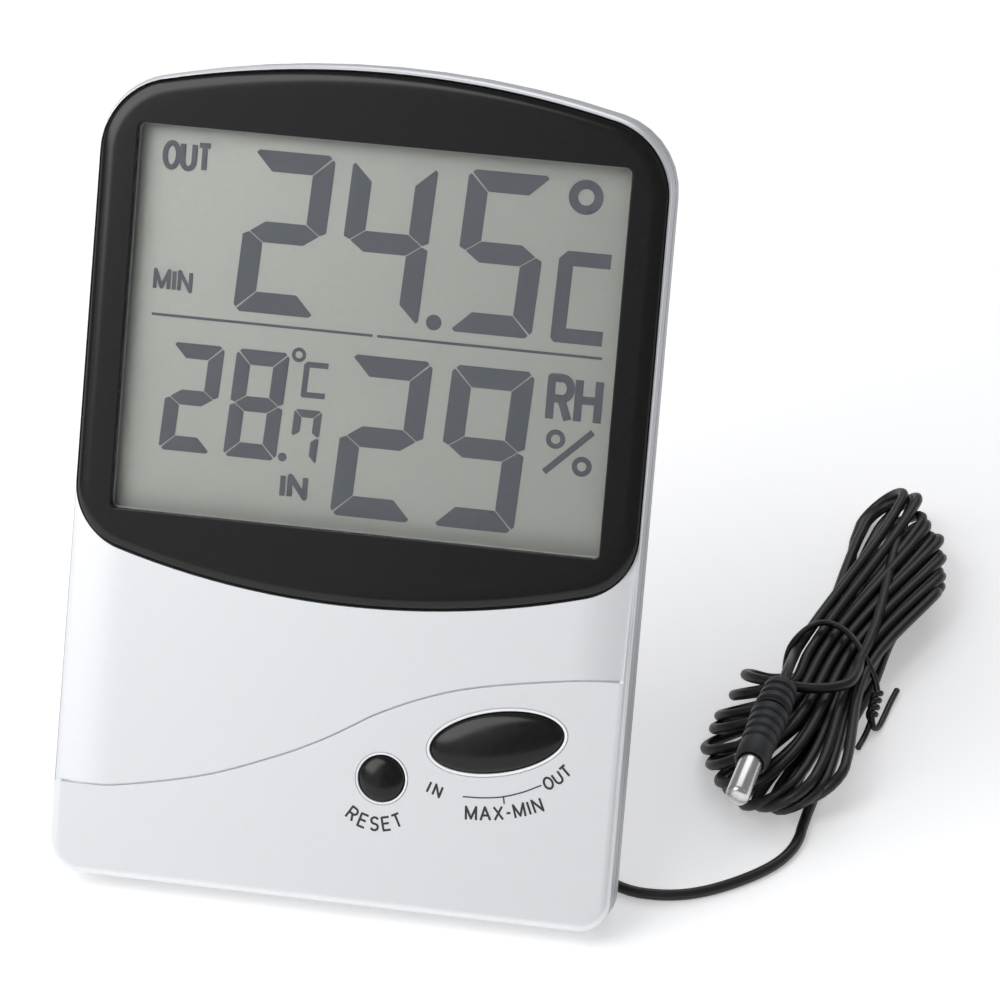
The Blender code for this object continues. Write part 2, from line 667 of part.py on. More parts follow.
def make_battery_bay():
    """Door, two cells, and the contacts at both ends of the bay."""
    left = BAY_LEFT - 0.0008 + GAP
    right = BAY_RIGHT + 0.0008 - GAP
    low = BAY_LOW - 0.0020 + GAP
    high = BAY_HIGH + 0.0009 - GAP
    hinge = (0.0, CASE_DEPTH - DOOR_THICKNESS / 2, low + DOOR_HEEL)
    top = high - low - DOOR_HEEL
    door = bmesh.new()
    add_box(door, (left, -DOOR_THICKNESS / 2, -DOOR_HEEL), (right, DOOR_THICKNESS / 2, top))
    door = make_object("battery_door", door, SILVER, CASE, hinge)
    latch = bmesh.new()
    middle = (left + right) / 2
    add_box(latch, (middle - 0.0050, -DOOR_THICKNESS / 2 - 0.0015, top - 0.0026),
            (middle + 0.0050, 0.0, top - 0.0014))
    latch = make_tool("battery_door_latch", latch, CASE)
    latch.location = hinge
    apply_tool(door, latch, "UNION")
    notch = bmesh.new()
    add_box(notch, (middle - 0.0040, 0.0001, top - 0.0050), (middle + 0.0040, 0.0020, top - 0.0034))
    notch = make_tool("battery_door_notch", notch, CASE)
    notch.location = hinge
    apply_tool(door, notch, "DIFFERENCE")

    radius = CELL_DIAMETER / 2
    shell = ((0.0, 0.0), (0.0, radius - 0.0010), (0.0004, radius), (CELL_LENGTH - 0.0015, radius),
             (CELL_LENGTH - 0.0009, radius - 0.0010), (CELL_LENGTH - 0.0009, 0.0019),
             (CELL_LENGTH, 0.0017), (CELL_LENGTH, 0.0))
    plate_low = BAY_LOW + GAP
    plate_high = BAY_HIGH - GAP
    plate = 0.0006
    spring_length = plate_high - plate_low - 2 * plate - CELL_LENGTH - 3 * GAP
    for name, x, up in (("battery_left", CELL_CENTRES[0], 1), ("battery_right", CELL_CENTRES[1], -1)):
        start = plate_high - plate - GAP - CELL_LENGTH if up > 0 else plate_low + plate + GAP + CELL_LENGTH
        bm = bmesh.new()
        add_turned(bm, shell, (x, CELL_DEPTH, start), (0, 0, up), 24)
        make_object(name, bm, BATTERY, CASE)
        base = plate_low + plate + GAP if up > 0 else plate_high - plate - GAP
        turns = 4
        points = []
        for step in range(turns * 12 + 1):
            angle = math.pi / 6 * step
            share = step / (turns * 12)
            reach = 0.0036 - 0.0014 * share
            points.append((x + reach * math.cos(angle), CELL_DEPTH + reach * math.sin(angle),
                           base + up * (0.0003 + (spring_length - 0.0006) * share)))
        make_tube(name.replace("battery", "contact_spring"), points, 0.0003, STEEL, CASE, 0)

    contacts = {
        "contact_bridge": (CELL_CENTRES[0] - 0.0045, CELL_CENTRES[1] + 0.0045, plate_high - plate),
        "contact_plate_left": (CELL_CENTRES[0] - 0.0045, CELL_CENTRES[0] + 0.0045, plate_low),
        "contact_plate_right": (CELL_CENTRES[1] - 0.0045, CELL_CENTRES[1] + 0.0045, plate_low),
    }
    for name, (start, end, height) in contacts.items():
        bm = bmesh.new()
        add_box(bm, (start, BAY_FLOOR + BAY_WALL + GAP, height), (end, 0.0160, height + plate))
        make_object(name, bm, STEEL, CASE)


def make_stand():
    """Flap on the back: modelled folded about its pivot, then swung out to the table."""
    pivot = make_empty("stand_pivot", (0.0, STAND_PIVOT_DEPTH, STAND_PIVOT_HEIGHT), STAND_OPEN, CASE)
    half = STAND_HALF_WIDTH
    foot = half - 0.0030
    outline = [(-half, STAND_HEEL), (-half, -0.050)]
    outline += arc((-foot + 0.005, -STAND_LENGTH + 0.003), 0.005, math.pi, 1.5 * math.pi)
    outline += arc((foot - 0.005, -STAND_LENGTH + 0.003), 0.005, 1.5 * math.pi, 2 * math.pi)
    outline += [(half, -0.050), (half, STAND_HEEL)]
    bm = bmesh.new()
    add_prism(bm, outline, -STAND_THICKNESS / 2, STAND_THICKNESS / 2)
    stand = make_object("kickstand", bm, SILVER, pivot)

    stubs = bmesh.new()
    reach = half + 0.0018
    add_turned(stubs, ((-reach, 0.0012), (reach, 0.0012)), (0.0, 0.0, 0.0), (1, 0, 0), 20)
    apply_tool(stand, make_tool("kickstand_stubs", stubs, pivot), "UNION")
    grooves = bmesh.new()
    for row in range(3):
        high = -0.0140 - 0.0130 * row
        outline = rectangle(-0.0130, high - 0.0080, 0.0130, high, 0.002)
        add_prism(grooves, outline, 0.0004, 0.0030)
    apply_tool(stand, make_tool("kickstand_grooves", grooves, pivot), "DIFFERENCE")
    apply_tool(stand, GROUND, "DIFFERENCE")


# ---------------------------------------------------------------- wiring, lead and probe
def make_wiring():
    back = BOARD_BACK + GAP
    start = BAY_LOW - BAY_WALL - GAP
    routes = {
        "battery_wire_red": ((CELL_CENTRES[1], 0.0105, start), (CELL_CENTRES[1], 0.0105, start - 0.0020),
                             (-0.0270, 0.0108, 0.0088), (-0.0215, 0.0113, 0.0084),
                             (-0.0165, 0.0117, 0.0110), (-0.0135, 0.0117, 0.0180),
                             (-0.0120, back + 0.0008, 0.0250)),
        "battery_wire_black": ((CELL_CENTRES[0] + 0.0030, 0.0105, start),
                               (CELL_CENTRES[0] + 0.0030, 0.0105, start - 0.0030),
                               (-0.0335, 0.0108, 0.0066), (-0.0250, 0.0112, 0.0058),
                               (-0.0150, 0.0116, 0.0070), (-0.0080, 0.0117, 0.0150),
                               (-0.0060, back + 0.0008, 0.0240)),
    }
    for name, route in routes.items():
        colour = RED_WIRE if name.endswith("red") else RUBBER
        make_tube(name, smooth_route(route, 0.0025), 0.0005, colour, CASE, 1)
    inner = ((CABLE_EXIT[0], 0.0166, CABLE_EXIT[1]), (CABLE_EXIT[0], 0.0145, CABLE_EXIT[1]),
             (0.0290, 0.0128, 0.0190), (0.0250, 0.0120, 0.0230), (0.0200, 0.0116, 0.0250),
             (0.0150, 0.0115, 0.0260))
    make_tube("lead_inside", smooth_route(inner, 0.0022), CABLE_RADIUS, RUBBER, CASE, 2)


def make_grommet():
    wall = CASE_DEPTH
    profile = ((0.0169, 0.0), (0.0169, 0.0037), (0.0179, 0.0037), (0.0179, 0.0023),
               (wall + GAP, 0.0023), (wall + GAP, 0.0034), (wall + 0.0012, 0.0033),
               (wall + GROMMET_REACH, 0.0019), (wall + GROMMET_REACH, 0.0))
    bm = bmesh.new()
    add_turned(bm, profile, (CABLE_EXIT[0], 0.0, CABLE_EXIT[1]), (0, 1, 0), 24)
    make_object("cable_grommet", bm, RUBBER, CASE)


def make_lead():
    make_tube("sensor_cable", smooth_route(LEAD_ROUTE, 0.0024), CABLE_RADIUS, RUBBER)

    near = Vector(HANK_NEAR)
    far = Vector(HANK_FAR)
    along = (far - near).normalized()
    heading = math.atan2(along.y, along.x)
    quarter = math.pi / 2
    side = Vector((-along.y, along.x))
    waist = near.lerp(far, 0.42)
    outline = arc(far, HANK_FAR_RADIUS, heading - quarter, heading + quarter)
    outline.append(tuple(waist + side * HANK_WAIST))
    outline += arc(near, HANK_NEAR_RADIUS, heading + quarter, heading + 3 * quarter)
    outline.append(tuple(waist - side * HANK_WAIST))
    bm = bmesh.new()
    lower = [bm.verts.new((x, y, 0.0)) for x, y in outline]
    upper = [bm.verts.new((x, y, HANK_HEIGHT)) for x, y in outline]
    for index in range(len(outline)):
        after = (index + 1) % len(outline)
        bm.faces.new((lower[index], lower[after], upper[after], upper[index]))
    bm.faces.new(lower)
    bm.faces.new(upper)
    make_object("cable_hank", bm, RUBBER, None)

    # The tie: over the top of the hank's waist and down both sides to the table.
    reach = HANK_WAIST + TIE_RADIUS + GAP
    top = HANK_HEIGHT + TIE_RADIUS + GAP
    bend = 0.0012
    section = [(-reach, TIE_RADIUS + 0.0002), (-reach, top - bend)]
    section += arc((-reach + bend, top - bend), bend, math.pi, quarter)[1:]
    section += arc((reach - bend, top - bend), bend, quarter, 0.0)
    section += [(reach, 0.0040), (reach + 0.0010, 0.0022), (reach + 0.0040, 0.0016),
                (reach + 0.0070, 0.0016)]
    points = [Vector((*(waist - side * u), v)) for u, v in section]
    make_tube("twist_tie", points, TIE_RADIUS, RUBBER, None, 1)


def make_probe():
    rear = Vector(PROBE_REAR)
    front = Vector(PROBE_FRONT)
    direction = (front - rear).normalized()
    profile = [(0.0, 0.0), (0.0, 0.0024), (0.0010, 0.0031)]
    for ring in range(3):
        start = 0.0022 + 0.0022 * ring
        radius = 0.0033 + 0.00014 * ring
        profile += [(start, radius), (start + 0.0004, radius - 0.0003),
                    (start + 0.0009, radius - 0.0003), (start + 0.0013, radius)]
    profile += [(0.0094, 0.0038), (0.0096, 0.0029), (0.0101, 0.0029), (0.0103, 0.00385)]
    for ring in range(4):
        start = 0.0118 + 0.0022 * ring
        radius = 0.0038 - 0.00012 * ring
        profile += [(start, radius), (start + 0.0004, radius - 0.0003),
                    (start + 0.0009, radius - 0.0003), (start + 0.0013, radius)]
    profile += [(SLEEVE_LENGTH - 0.0008, 0.0034), (SLEEVE_LENGTH, 0.0031), (SLEEVE_LENGTH, 0.0)]
    bm = bmesh.new()
    add_turned(bm, profile, rear, direction, 24)
    make_object("probe_sleeve", bm, RUBBER, None)

    tube_length = (front - rear).length - SLEEVE_LENGTH - GAP
    radius = PROBE_TUBE_RADIUS
    profile = ((0.0, 0.0), (0.0, radius), (tube_length - 0.0008, radius),
               (tube_length - 0.0003, radius - 0.0004), (tube_length, radius - 0.0012),
               (tube_length, 0.0))
    bm = bmesh.new()
    add_turned(bm, profile, rear + direction * (SLEEVE_LENGTH + GAP), direction, 24)
    make_object("probe_tube", bm, STEEL, None)
    make_tube("probe_lead", smooth_route(PROBE_LEAD_ROUTE, 0.0022), CABLE_RADIUS, RUBBER)


# ---------------------------------------------------------------- assembly
clear_scene()

TOOL_MATERIAL = make_material("tool", (0.8, 0.2, 0.2), 0.5)
SILVER = make_material("silver_case", (0.80, 0.81, 0.83), 0.35, 0.2)
BLACK_GLOSS = make_material("gloss_black", (0.012, 0.012, 0.013), 0.08)
CLEAR = make_material("clear_window", (0.95, 0.96, 0.95), 0.03, 0.0, 1.0)
LCD_GREY = make_material("lcd_grey", (0.40, 0.42, 0.37), 0.3)
WHITE_PLASTIC = make_material("white_plastic", (0.75, 0.75, 0.73), 0.5)
RUBBER = make_material("black_rubber", (0.03, 0.03, 0.032), 0.55)
STEEL = make_material("steel", (0.62, 0.61, 0.59), 0.3, 1.0)
BOARD_GREEN = make_material("board_green", (0.04, 0.22, 0.08), 0.45)
BATTERY = make_material("battery_jacket", (0.10, 0.11, 0.13), 0.35)
RED_WIRE = make_material("red_wire", (0.55, 0.03, 0.02), 0.45)

CASE = make_empty("case_frame", (0.0, BOX_CENTRE_SHIFT, FRONT_EDGE_LIFT), -LEAN)
pivot_lift = (STAND_PIVOT_HEIGHT * math.cos(LEAN) - STAND_PIVOT_DEPTH * math.sin(LEAN)
              + FRONT_EDGE_LIFT)
STAND_OPEN = LEAN + math.acos(pivot_lift / STAND_LENGTH)

ground = bmesh.new()
add_box(ground, (-0.2, -0.2, -0.05), (0.2, 0.2, 0.0))
GROUND = make_tool("table", ground, None)

make_front_case()
make_bezel()
make_display()
make_board()
make_screws()
make_buttons()
make_rear_case()
make_battery_bay()
make_stand()
make_wiring()
make_grommet()
make_lead()
make_probe()
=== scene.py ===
"""Visual model of a maximum minimum thermometer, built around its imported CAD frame.

World frame: +Z up, the display faces -Y and leans back, X runs to the right, metres. Pieces of the
case are drawn in the case's own frame: x right, y into the case from its front face, z up the face.
"""

import json
import random
from math import atan2, cos, hypot, pi, radians, sin, sqrt

import bmesh
import bpy
from mathutils import Matrix, Vector
from mathutils.geometry import delaunay_2d_cdt


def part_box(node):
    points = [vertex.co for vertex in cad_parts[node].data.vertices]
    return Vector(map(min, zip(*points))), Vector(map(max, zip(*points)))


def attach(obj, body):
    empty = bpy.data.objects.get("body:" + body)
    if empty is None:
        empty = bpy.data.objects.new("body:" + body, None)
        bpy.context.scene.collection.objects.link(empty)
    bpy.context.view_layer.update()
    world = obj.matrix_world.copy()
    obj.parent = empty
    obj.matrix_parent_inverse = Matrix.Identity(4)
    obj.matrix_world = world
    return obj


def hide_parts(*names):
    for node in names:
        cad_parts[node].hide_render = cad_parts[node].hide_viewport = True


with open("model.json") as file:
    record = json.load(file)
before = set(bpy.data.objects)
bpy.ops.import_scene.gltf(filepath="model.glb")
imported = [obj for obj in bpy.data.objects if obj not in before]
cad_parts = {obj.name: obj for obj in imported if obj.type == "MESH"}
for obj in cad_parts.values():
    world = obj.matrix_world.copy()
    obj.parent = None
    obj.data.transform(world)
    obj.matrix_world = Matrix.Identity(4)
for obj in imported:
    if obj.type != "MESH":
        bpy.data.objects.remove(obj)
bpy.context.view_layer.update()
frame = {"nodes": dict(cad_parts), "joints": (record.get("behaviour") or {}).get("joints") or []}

# ---- view
VIEW_AZIMUTH = radians(10.92)
VIEW_ELEVATION = radians(33.15)
VIEW_DISTANCE = 0.8952
VIEW_TARGET = Vector((0.03448, -0.0428, 0.10135))
LENS = 179.0
SENSOR_WIDTH = 36.0
FLOOR_HALF = 6.0
FLOOR_GLOW = 0.36
WORLD_GLOW = 0.28

# ---- the case's own frame
press = next(joint for joint in frame["joints"] if joint["name"] == "reset_press")
LEAN = atan2(-press["axis"][2], press["axis"][1])
UPRIGHT = Matrix.Rotation(LEAN, 4, "X")


def upright_box(node):
    """Lowest and highest corner of a CAD node once the lean is taken out."""
    points = [UPRIGHT @ vertex.co for vertex in frame["nodes"][node].data.vertices]
    low = Vector([min(point[axis] for point in points) for axis in range(3)])
    high = Vector([max(point[axis] for point in points) for axis in range(3)])
    return low, high


front_low, front_high = upright_box("front_case")
CASE_ORIGIN = Vector(((front_low.x + front_high.x) / 2, front_low.y, front_low.z))
TO_CASE = Matrix.Translation(-CASE_ORIGIN) @ UPRIGHT
CASE = TO_CASE.inverted()


def case_box(node):
    """Lowest and highest corner of a CAD node in the case's frame."""
    low, high = upright_box(node)
    return low - CASE_ORIGIN, high - CASE_ORIGIN


HALF_WIDTH = (front_high.x - front_low.x) / 2
HEIGHT = front_high.z - front_low.z
REAR_DEPTH = 0.013
PARTING_GAP = 0.00015
PARTING = case_box("rear_case")[1].y - REAR_DEPTH - PARTING_GAP
ARCH_RADIUS = 0.19
TOP_CORNER = 0.015
LOW_CORNER = 0.006
EDGE_RADIUS = 0.0015
PANEL_STEP = 0.00022  # the control panel lies this far below the face above it
GROOVE_WIDTH = 0.0004  # the fine groove between them
GROOVE_DEPTH = 0.0006
ROLL_START = 0.0445  # where the face above the panel starts to roll off to its sides
ROLL_DROP = 0.0012
SEAT_GAP = 0.00022  # between the bezel and its seat in the front shell
SEAT_DEPTH = 0.0004
FLAT_MARGIN = 0.0002  # a loop of points this far past a rounding keeps the flat face flat

bezel_low, bezel_high = case_box("display_bezel")
BEZEL_HALF = (bezel_high.x - bezel_low.x) / 2
BEZEL_FACE = bezel_low.y
BEZEL_SWEEP = 0.165
BEZEL_LOW_CORNER = 0.0125
BEZEL_TOP_CORNER = 0.0145
BEZEL_RIM = 0.0027  # width of its rounded rim
BEZEL_RIM_DROP = 0.0013
WINDOW = (-0.0474, 0.0718, 0.0474, 0.1457)
WINDOW_CORNER = 0.0012
WINDOW_BREAK = 0.00012  # the softened edge of the bezel's opening
LCD_LIFT = 0.0005  # the display's face comes this much closer to the window
INK_THICKNESS = 0.00006
SEGMENT_LIFT = 0.00008
LETTERING_LIFT = 0.00004
LETTER_STROKE = 0.00042
FINE_STROKE = 0.00024

RESET_CENTRE = (0.00927, 0.02527)
OVAL_CENTRE = (0.0309, 0.0347)
OVAL_LONG = 0.0129
OVAL_SHORT = 0.0056
OVAL_TILT = radians(13.6)
RESET_RADIUS = 0.00435
BUTTON_SINK = 0.0004  # the foot of a cap's crown lies this far below the case's face
HOLE_DEPTH = 0.0022
LIP_RISE = 0.00012  # the lip round a button stands this far above the panel
LIP_FOOT = 0.00002
RING_GROOVE_DEPTH = 0.00045

# The wave between the face and the control panel below it, from left to right.
WAVE = ((-0.056, 0.018), (-0.0488, 0.018), (-0.0417, 0.0185), (-0.0254, 0.0222),
        (-0.0117, 0.0274), (-0.0032, 0.0315), (0.0024, 0.0348), (0.0075, 0.0379),
        (0.0165, 0.042), (0.0269, 0.0452), (0.0444, 0.0483), (0.056, 0.0492))

# ---- sensor lead (metres)
CABLE_RADIUS = 0.0011
SLEEVE_LENGTH = 0.0262
TUBE_RADIUS = 0.00235
TIE_RADIUS = 0.00065
# From the grommet over the table to the hank: the same route as the CAD cable's.
TABLE_LEVEL = CABLE_RADIUS + 0.00002
LEAD_DOWN = ((0.03, -0.013, 0.00814), (0.03, -0.01055, 0.00698), (0.03, -0.0074, 0.00545),
             (0.0309, -0.0042, 0.00385), (0.0335, -0.0019, 0.00235), (0.0372, -0.0021, 0.00145),
             (0.0409, -0.0052, 0.00115))
LEAD_ON_TABLE = ((0.0441, -0.0102), (0.0473, -0.0157), (0.0513, -0.0206), (0.0563, -0.0231),
                 (0.0612, -0.02345), (0.066, -0.0226), (0.0707, -0.0205), (0.0755, -0.0171),
                 (0.08, -0.0129), (0.0833, -0.0086), (0.0853, -0.0041), (0.0861, 0.0),
                 (0.0862, 0.0026))
LEAD_ROUTE = LEAD_DOWN + tuple((x, y, TABLE_LEVEL) for x, y in LEAD_ON_TABLE)
# The hank: turns leaning on each other side by side, drawn in by the tie and fanned out at both
# ends. The tips are the outermost points of its folds, from the left-hand turn to the right.
HANK_TURNS = 13
HANK_WAIST = Vector((0.0855, 0.052))
HANK_HEADING = radians(79.0)
WAIST_HALF_WIDTH = 0.0078
HANK_TOP = 0.0098  # height of the upper strands at the folds
WAIST_TOP = 0.0084  # and at the waist
FAR_LEAN = 0.0092  # how far a fold's upper strand lies beside its lower one
NEAR_LEAN = 0.0075
FAR_TIPS = ((0.0888, 0.1185), (0.0921, 0.1183), (0.095, 0.1108), (0.0978, 0.1052),
            (0.1005, 0.1), (0.1018, 0.094), (0.1026, 0.0885), (0.1026, 0.0835))
NEAR_TIPS = ((0.0702, 0.047), (0.0682, 0.04), (0.0655, 0.031), (0.0646, 0.0235),
             (0.067, 0.015), (0.0702, 0.0088), (0.0748, 0.0055), (0.08, 0.0038),
             (0.085, 0.0042), (0.0888, 0.0085))
# One strand crosses over the others below the tie, and turns back at the hank's left.
CROSSING = ((0.0912, 0.0495, 0.0102), (0.0914, 0.0436, 0.0114), (0.0901, 0.0384, 0.012),
            (0.086, 0.0358, 0.0121), (0.0808, 0.0353, 0.012), (0.0757, 0.0368, 0.0114),
            (0.071, 0.0398, 0.0098), (0.0687, 0.0438, 0.0076), (0.0697, 0.0478, 0.005),
            (0.0731, 0.0504, 0.0026))
CROSSING_WAY = Vector((0.75, 0.66))


# ---- materials
def shader_of(material):
    return material.node_tree.nodes["Principled BSDF"]


def new_material(name, colour, roughness, metallic=0.0, coat=0.0, specular=0.5):
    material = bpy.data.materials.new(name)
    material.use_nodes = True
    values = {"Base Color": (*colour, 1.0), "Roughness": roughness, "Metallic": metallic,
              "Coat Weight": coat, "Coat Roughness": 0.05, "Specular IOR Level": specular}
    for entry, value in values.items():
        shader_of(material).inputs[entry].default_value = value
    return material


def grained(name, dark, light, roughness, scale, bump, metallic=0.0, stretch=(1.0, 1.0, 1.0),
            **finish):
    """A material with a fine grain: two colours, a roughness range and a bump from one noise."""
    middle = [(low + high) / 2 for low, high in zip(dark, light)]
    material = new_material(name, middle, sum(roughness) / 2, metallic, **finish)
    nodes = material.node_tree.nodes
    shader = shader_of(material)
    place = nodes.new("ShaderNodeTexCoord")
    mapping = nodes.new("ShaderNodeMapping")
    mapping.inputs["Scale"].default_value = stretch
    noise = nodes.new("ShaderNodeTexNoise")
    noise.inputs["Scale"].default_value = scale
    noise.inputs["Detail"].default_value = 4.0
    ramp = nodes.new("ShaderNodeValToRGB")
    for element, position, colour in zip(ramp.color_ramp.elements, (0.3, 0.7), (dark, light)):
        element.position = position
        element.color = (*colour, 1.0)
    spread = nodes.new("ShaderNodeMapRange")
    spread.inputs["To Min"].default_value = roughness[0]
    spread.inputs["To Max"].default_value = roughness[1]
    relief = nodes.new("ShaderNodeBump")
    relief.inputs["Strength"].default_value = bump
    relief.inputs["Distance"].default_value = 0.0002
    grain = noise.outputs["Fac"]
    for output, entry in (
        (place.outputs["Object"], mapping.inputs["Vector"]),
        (mapping.outputs["Vector"], noise.inputs["Vector"]),
        (grain, ramp.inputs["Fac"]),
        (grain, spread.inputs["Value"]),
        (grain, relief.inputs["Height"]),
        (ramp.outputs["Color"], shader.inputs["Base Color"]),
        (spread.outputs["Result"], shader.inputs["Roughness"]),
        (relief.outputs["Normal"], shader.inputs["Normal"]),
    ):
        material.node_tree.links.new(output, entry)
    return material


# Each: name, darker and lighter colour, roughness range, grain scale, bump, metallic, stretch.
SILVER = grained(
    "silver_paint", (0.785, 0.8, 0.82), (0.835, 0.848, 0.865), (0.32, 0.42), 5200, 0.05, 0.45)
# A darker copy of the silver for the rear shell, door, stand and the front's side wall: painted
# shade for the sides turned away from the lights.
SHADED_SILVER_BACK = grained(
    "silver_back_painted_shade", (0.46, 0.47, 0.485), (0.54, 0.55, 0.565),
    (0.42, 0.56), 3800, 0.22, 0.25, specular=0.35)
BLACK = grained(
    "bezel_black", (0.0035, 0.0033, 0.0033), (0.006, 0.0056, 0.0056),
    (0.17, 0.23), 900, 0.004, specular=0.38)
BUTTON_BLACK = grained(
    "button_black", (0.004, 0.004, 0.004), (0.008, 0.008, 0.008),
    (0.18, 0.24), 700, 0.006, specular=0.32)
CABLE = grained(
    "cable_rubber", (0.004, 0.004, 0.004), (0.008, 0.008, 0.008), (0.36, 0.5), 1500, 0.12)
SLEEVE = grained(
    "sleeve_rubber", (0.012, 0.013, 0.014), (0.024, 0.025, 0.027), (0.46, 0.62), 2600, 0.25)
TIE = grained("tie_plastic", (0.004, 0.004, 0.004), (0.01, 0.01, 0.01), (0.26, 0.4), 1200, 0.08)
PROBE = grained(
    "probe_steel", (0.6, 0.59, 0.57), (0.74, 0.73, 0.71), (0.18, 0.34), 900, 0.06, 1.0,
    (1.0, 0.12, 1.0))
PLATED = grained(
    "plated_steel", (0.52, 0.52, 0.53), (0.68, 0.68, 0.68), (0.24, 0.42), 1400, 0.08, 1.0)
BOARD = grained(
    "solder_mask", (0.02, 0.14, 0.05), (0.05, 0.25, 0.09), (0.28, 0.45), 420, 0.1, coat=0.3)
# A paler copy of the silver, a painted highlight on the raised lips round the buttons.
LIP_HIGHLIGHT_SILVER = grained(
    "lip_silver_painted_highlight", (0.91, 0.915, 0.925), (0.96, 0.965, 0.975), (0.28, 0.36), 900, 0.005, 0.1)
MOULDED_BLACK = grained(
    "moulded_black", (0.016, 0.016, 0.018), (0.036, 0.036, 0.038), (0.42, 0.62), 1800, 0.18)
MOULDED_WHITE = grained(
    "moulded_white", (0.66, 0.66, 0.64), (0.76, 0.76, 0.74), (0.42, 0.58), 1600, 0.12)
JACKET = grained(
    "battery_jacket", (0.07, 0.08, 0.1), (0.13, 0.14, 0.16),
    (0.24, 0.36), 260, 0.03, 0.2, coat=0.4)
RED = grained("red_insulation", (0.42, 0.02, 0.015), (0.56, 0.04, 0.025), (0.34, 0.48), 900, 0.06)
INK = grained("printed_ink", (0.016, 0.016, 0.018), (0.028, 0.028, 0.031), (0.42, 0.6), 3000, 0.04)
POLARISER = grained(
    "polariser_grey", (0.42, 0.423, 0.39), (0.44, 0.443, 0.41), (0.4, 0.48), 900, 0.01)
# A pale grey, a painted highlight for the edge of the window's opening.
WINDOW_EDGE_HIGHLIGHT = grained(
    "window_edge_highlight", (0.36, 0.36, 0.35), (0.48, 0.48, 0.47), (0.35, 0.45), 900, 0.01)
SEGMENT = grained(
    "segment_ink", (0.094, 0.102, 0.118), (0.106, 0.114, 0.13), (0.4, 0.52), 900, 0.01)
CLEAR = new_material("window_clear", (0.97, 0.98, 0.97), 0.02)
shader_of(CLEAR).inputs["Transmission Weight"].default_value = 1.0
shader_of(CLEAR).inputs["IOR"].default_value = 1.12


# ---- outlines
QUARTER = pi / 2


def arc(centre, radius, start, end, step=radians(4.5)):
    count = max(2, round(abs(end - start) / step))
    angles = [start + (end - start) * index / count for index in range(count + 1)]
    return [(centre[0] + radius * cos(a), centre[1] + radius * sin(a)) for a in angles]


def crowned_outline(half_width, bottom, top, low_radius, top_radius, crown, sweep=None):
    """Closed outline with a crowned top; its lower edge is straight, or bows down by sweep."""
    crown_centre = top - crown
    reach = half_width - top_radius
    corner_height = crown_centre + sqrt((crown - top_radius) ** 2 - reach ** 2)
    lean = atan2(reach, corner_height - crown_centre)
    right = half_width - low_radius
    if sweep is None:
        low_height = bottom + low_radius
        low_lean = 0.0
    else:
        drop = sqrt((sweep - low_radius) ** 2 - right ** 2)
        low_height = bottom + sweep - drop
        low_lean = atan2(right, drop)
    points = arc((right, low_height), low_radius, -QUARTER + low_lean, 0.0)
    points += arc((reach, corner_height), top_radius, 0.0, QUARTER - lean)
    steps = 24
    for step in range(1, steps):
        angle = lean - 2 * lean * step / steps
        points.append((crown * sin(angle), crown_centre + crown * cos(angle)))
    points += arc((-reach, corner_height), top_radius, QUARTER + lean, pi)
    points += arc((-right, low_height), low_radius, pi, 3 * QUARTER - low_lean)
    if sweep is not None:
        for step in range(1, steps):
            angle = -low_lean + 2 * low_lean * step / steps
            points.append((sweep * sin(angle), bottom + sweep - sweep * cos(angle)))
    return points


def case_outline(inset):
    low_corner = max(LOW_CORNER - inset, 0.001)
    return crowned_outline(HALF_WIDTH - inset, inset, HEIGHT - inset, low_corner,
                           TOP_CORNER - inset, ARCH_RADIUS - inset)


def bezel_outline(inset):
    return crowned_outline(BEZEL_HALF - inset, bezel_low.z + inset, bezel_high.z - inset,
                           BEZEL_LOW_CORNER - inset, BEZEL_TOP_CORNER - inset,
                           ARCH_RADIUS - inset, BEZEL_SWEEP - inset)


def rounded_rectangle(left, low, right, high, radius):
    step = radians(15)
    points = []
    corners = ((right - radius, low + radius), (right - radius, high - radius),
               (left + radius, high - radius), (left + radius, low + radius))
    for index, corner in enumerate(corners):
        start = QUARTER * (index - 1)
        points += arc(corner, radius, start, start + QUARTER, step)
    return points


def window_outline(inset):
    left, low, right, high = WINDOW
    return rounded_rectangle(left + inset, low + inset, right - inset, high - inset,
                             max(WINDOW_CORNER - inset, 0.0004))


def ellipse(centre, long_radius, short_radius, tilt, sides=72):
    points = []
    for side in range(sides):
        angle = 2 * pi * side / sides
        along = long_radius * cos(angle)
        across = short_radius * sin(angle)
        points.append((centre[0] + along * cos(tilt) - across * sin(tilt),
                       centre[1] + along * sin(tilt) + across * cos(tilt)))
    return points


def spline(points, share):
    """The point at a share of the way along the smooth curve through points."""
    points = [Vector(point) for point in points]
    points = [2 * points[0] - points[1]] + points + [2 * points[-1] - points[-2]]
    place = share * (len(points) - 3)
    index = min(int(place), len(points) - 4)
    t = place - index
    before, start, end, after = points[index:index + 4]
    return 0.5 * (2 * start + (end - before) * t
                  + (2 * before - 5 * start + 4 * end - after) * t ** 2
                  + (3 * start - before - 3 * end + after) * t ** 3)


def smooth_route(points, per_span):
    count = (len(points) - 1) * per_span
    return [spline(points, step / count) for step in range(count + 1)]


# ---- mesh helpers
def add_to_scene(name, data):
    result = bpy.data.objects.new(name, data)
    bpy.context.scene.collection.objects.link(result)
    return result


def make_object(name, bm, material, body="case", place=CASE, smooth=radians(40)):
    """Turn a bmesh into a piece that rides on a body. place carries its points to the world."""
    bmesh.ops.recalc_face_normals(bm, faces=bm.faces)
    mesh = bpy.data.meshes.new(name)
    bm.to_mesh(mesh)
    bm.free()
    mesh.transform(place)
    mesh.materials.append(material)
    mesh.shade_smooth()
    mesh.set_sharp_from_angle(angle=smooth)
    result = add_to_scene(name, mesh)
    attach(result, body)
    return result


def weld(bm):
    bmesh.ops.remove_doubles(bm, verts=bm.verts, dist=1e-6)


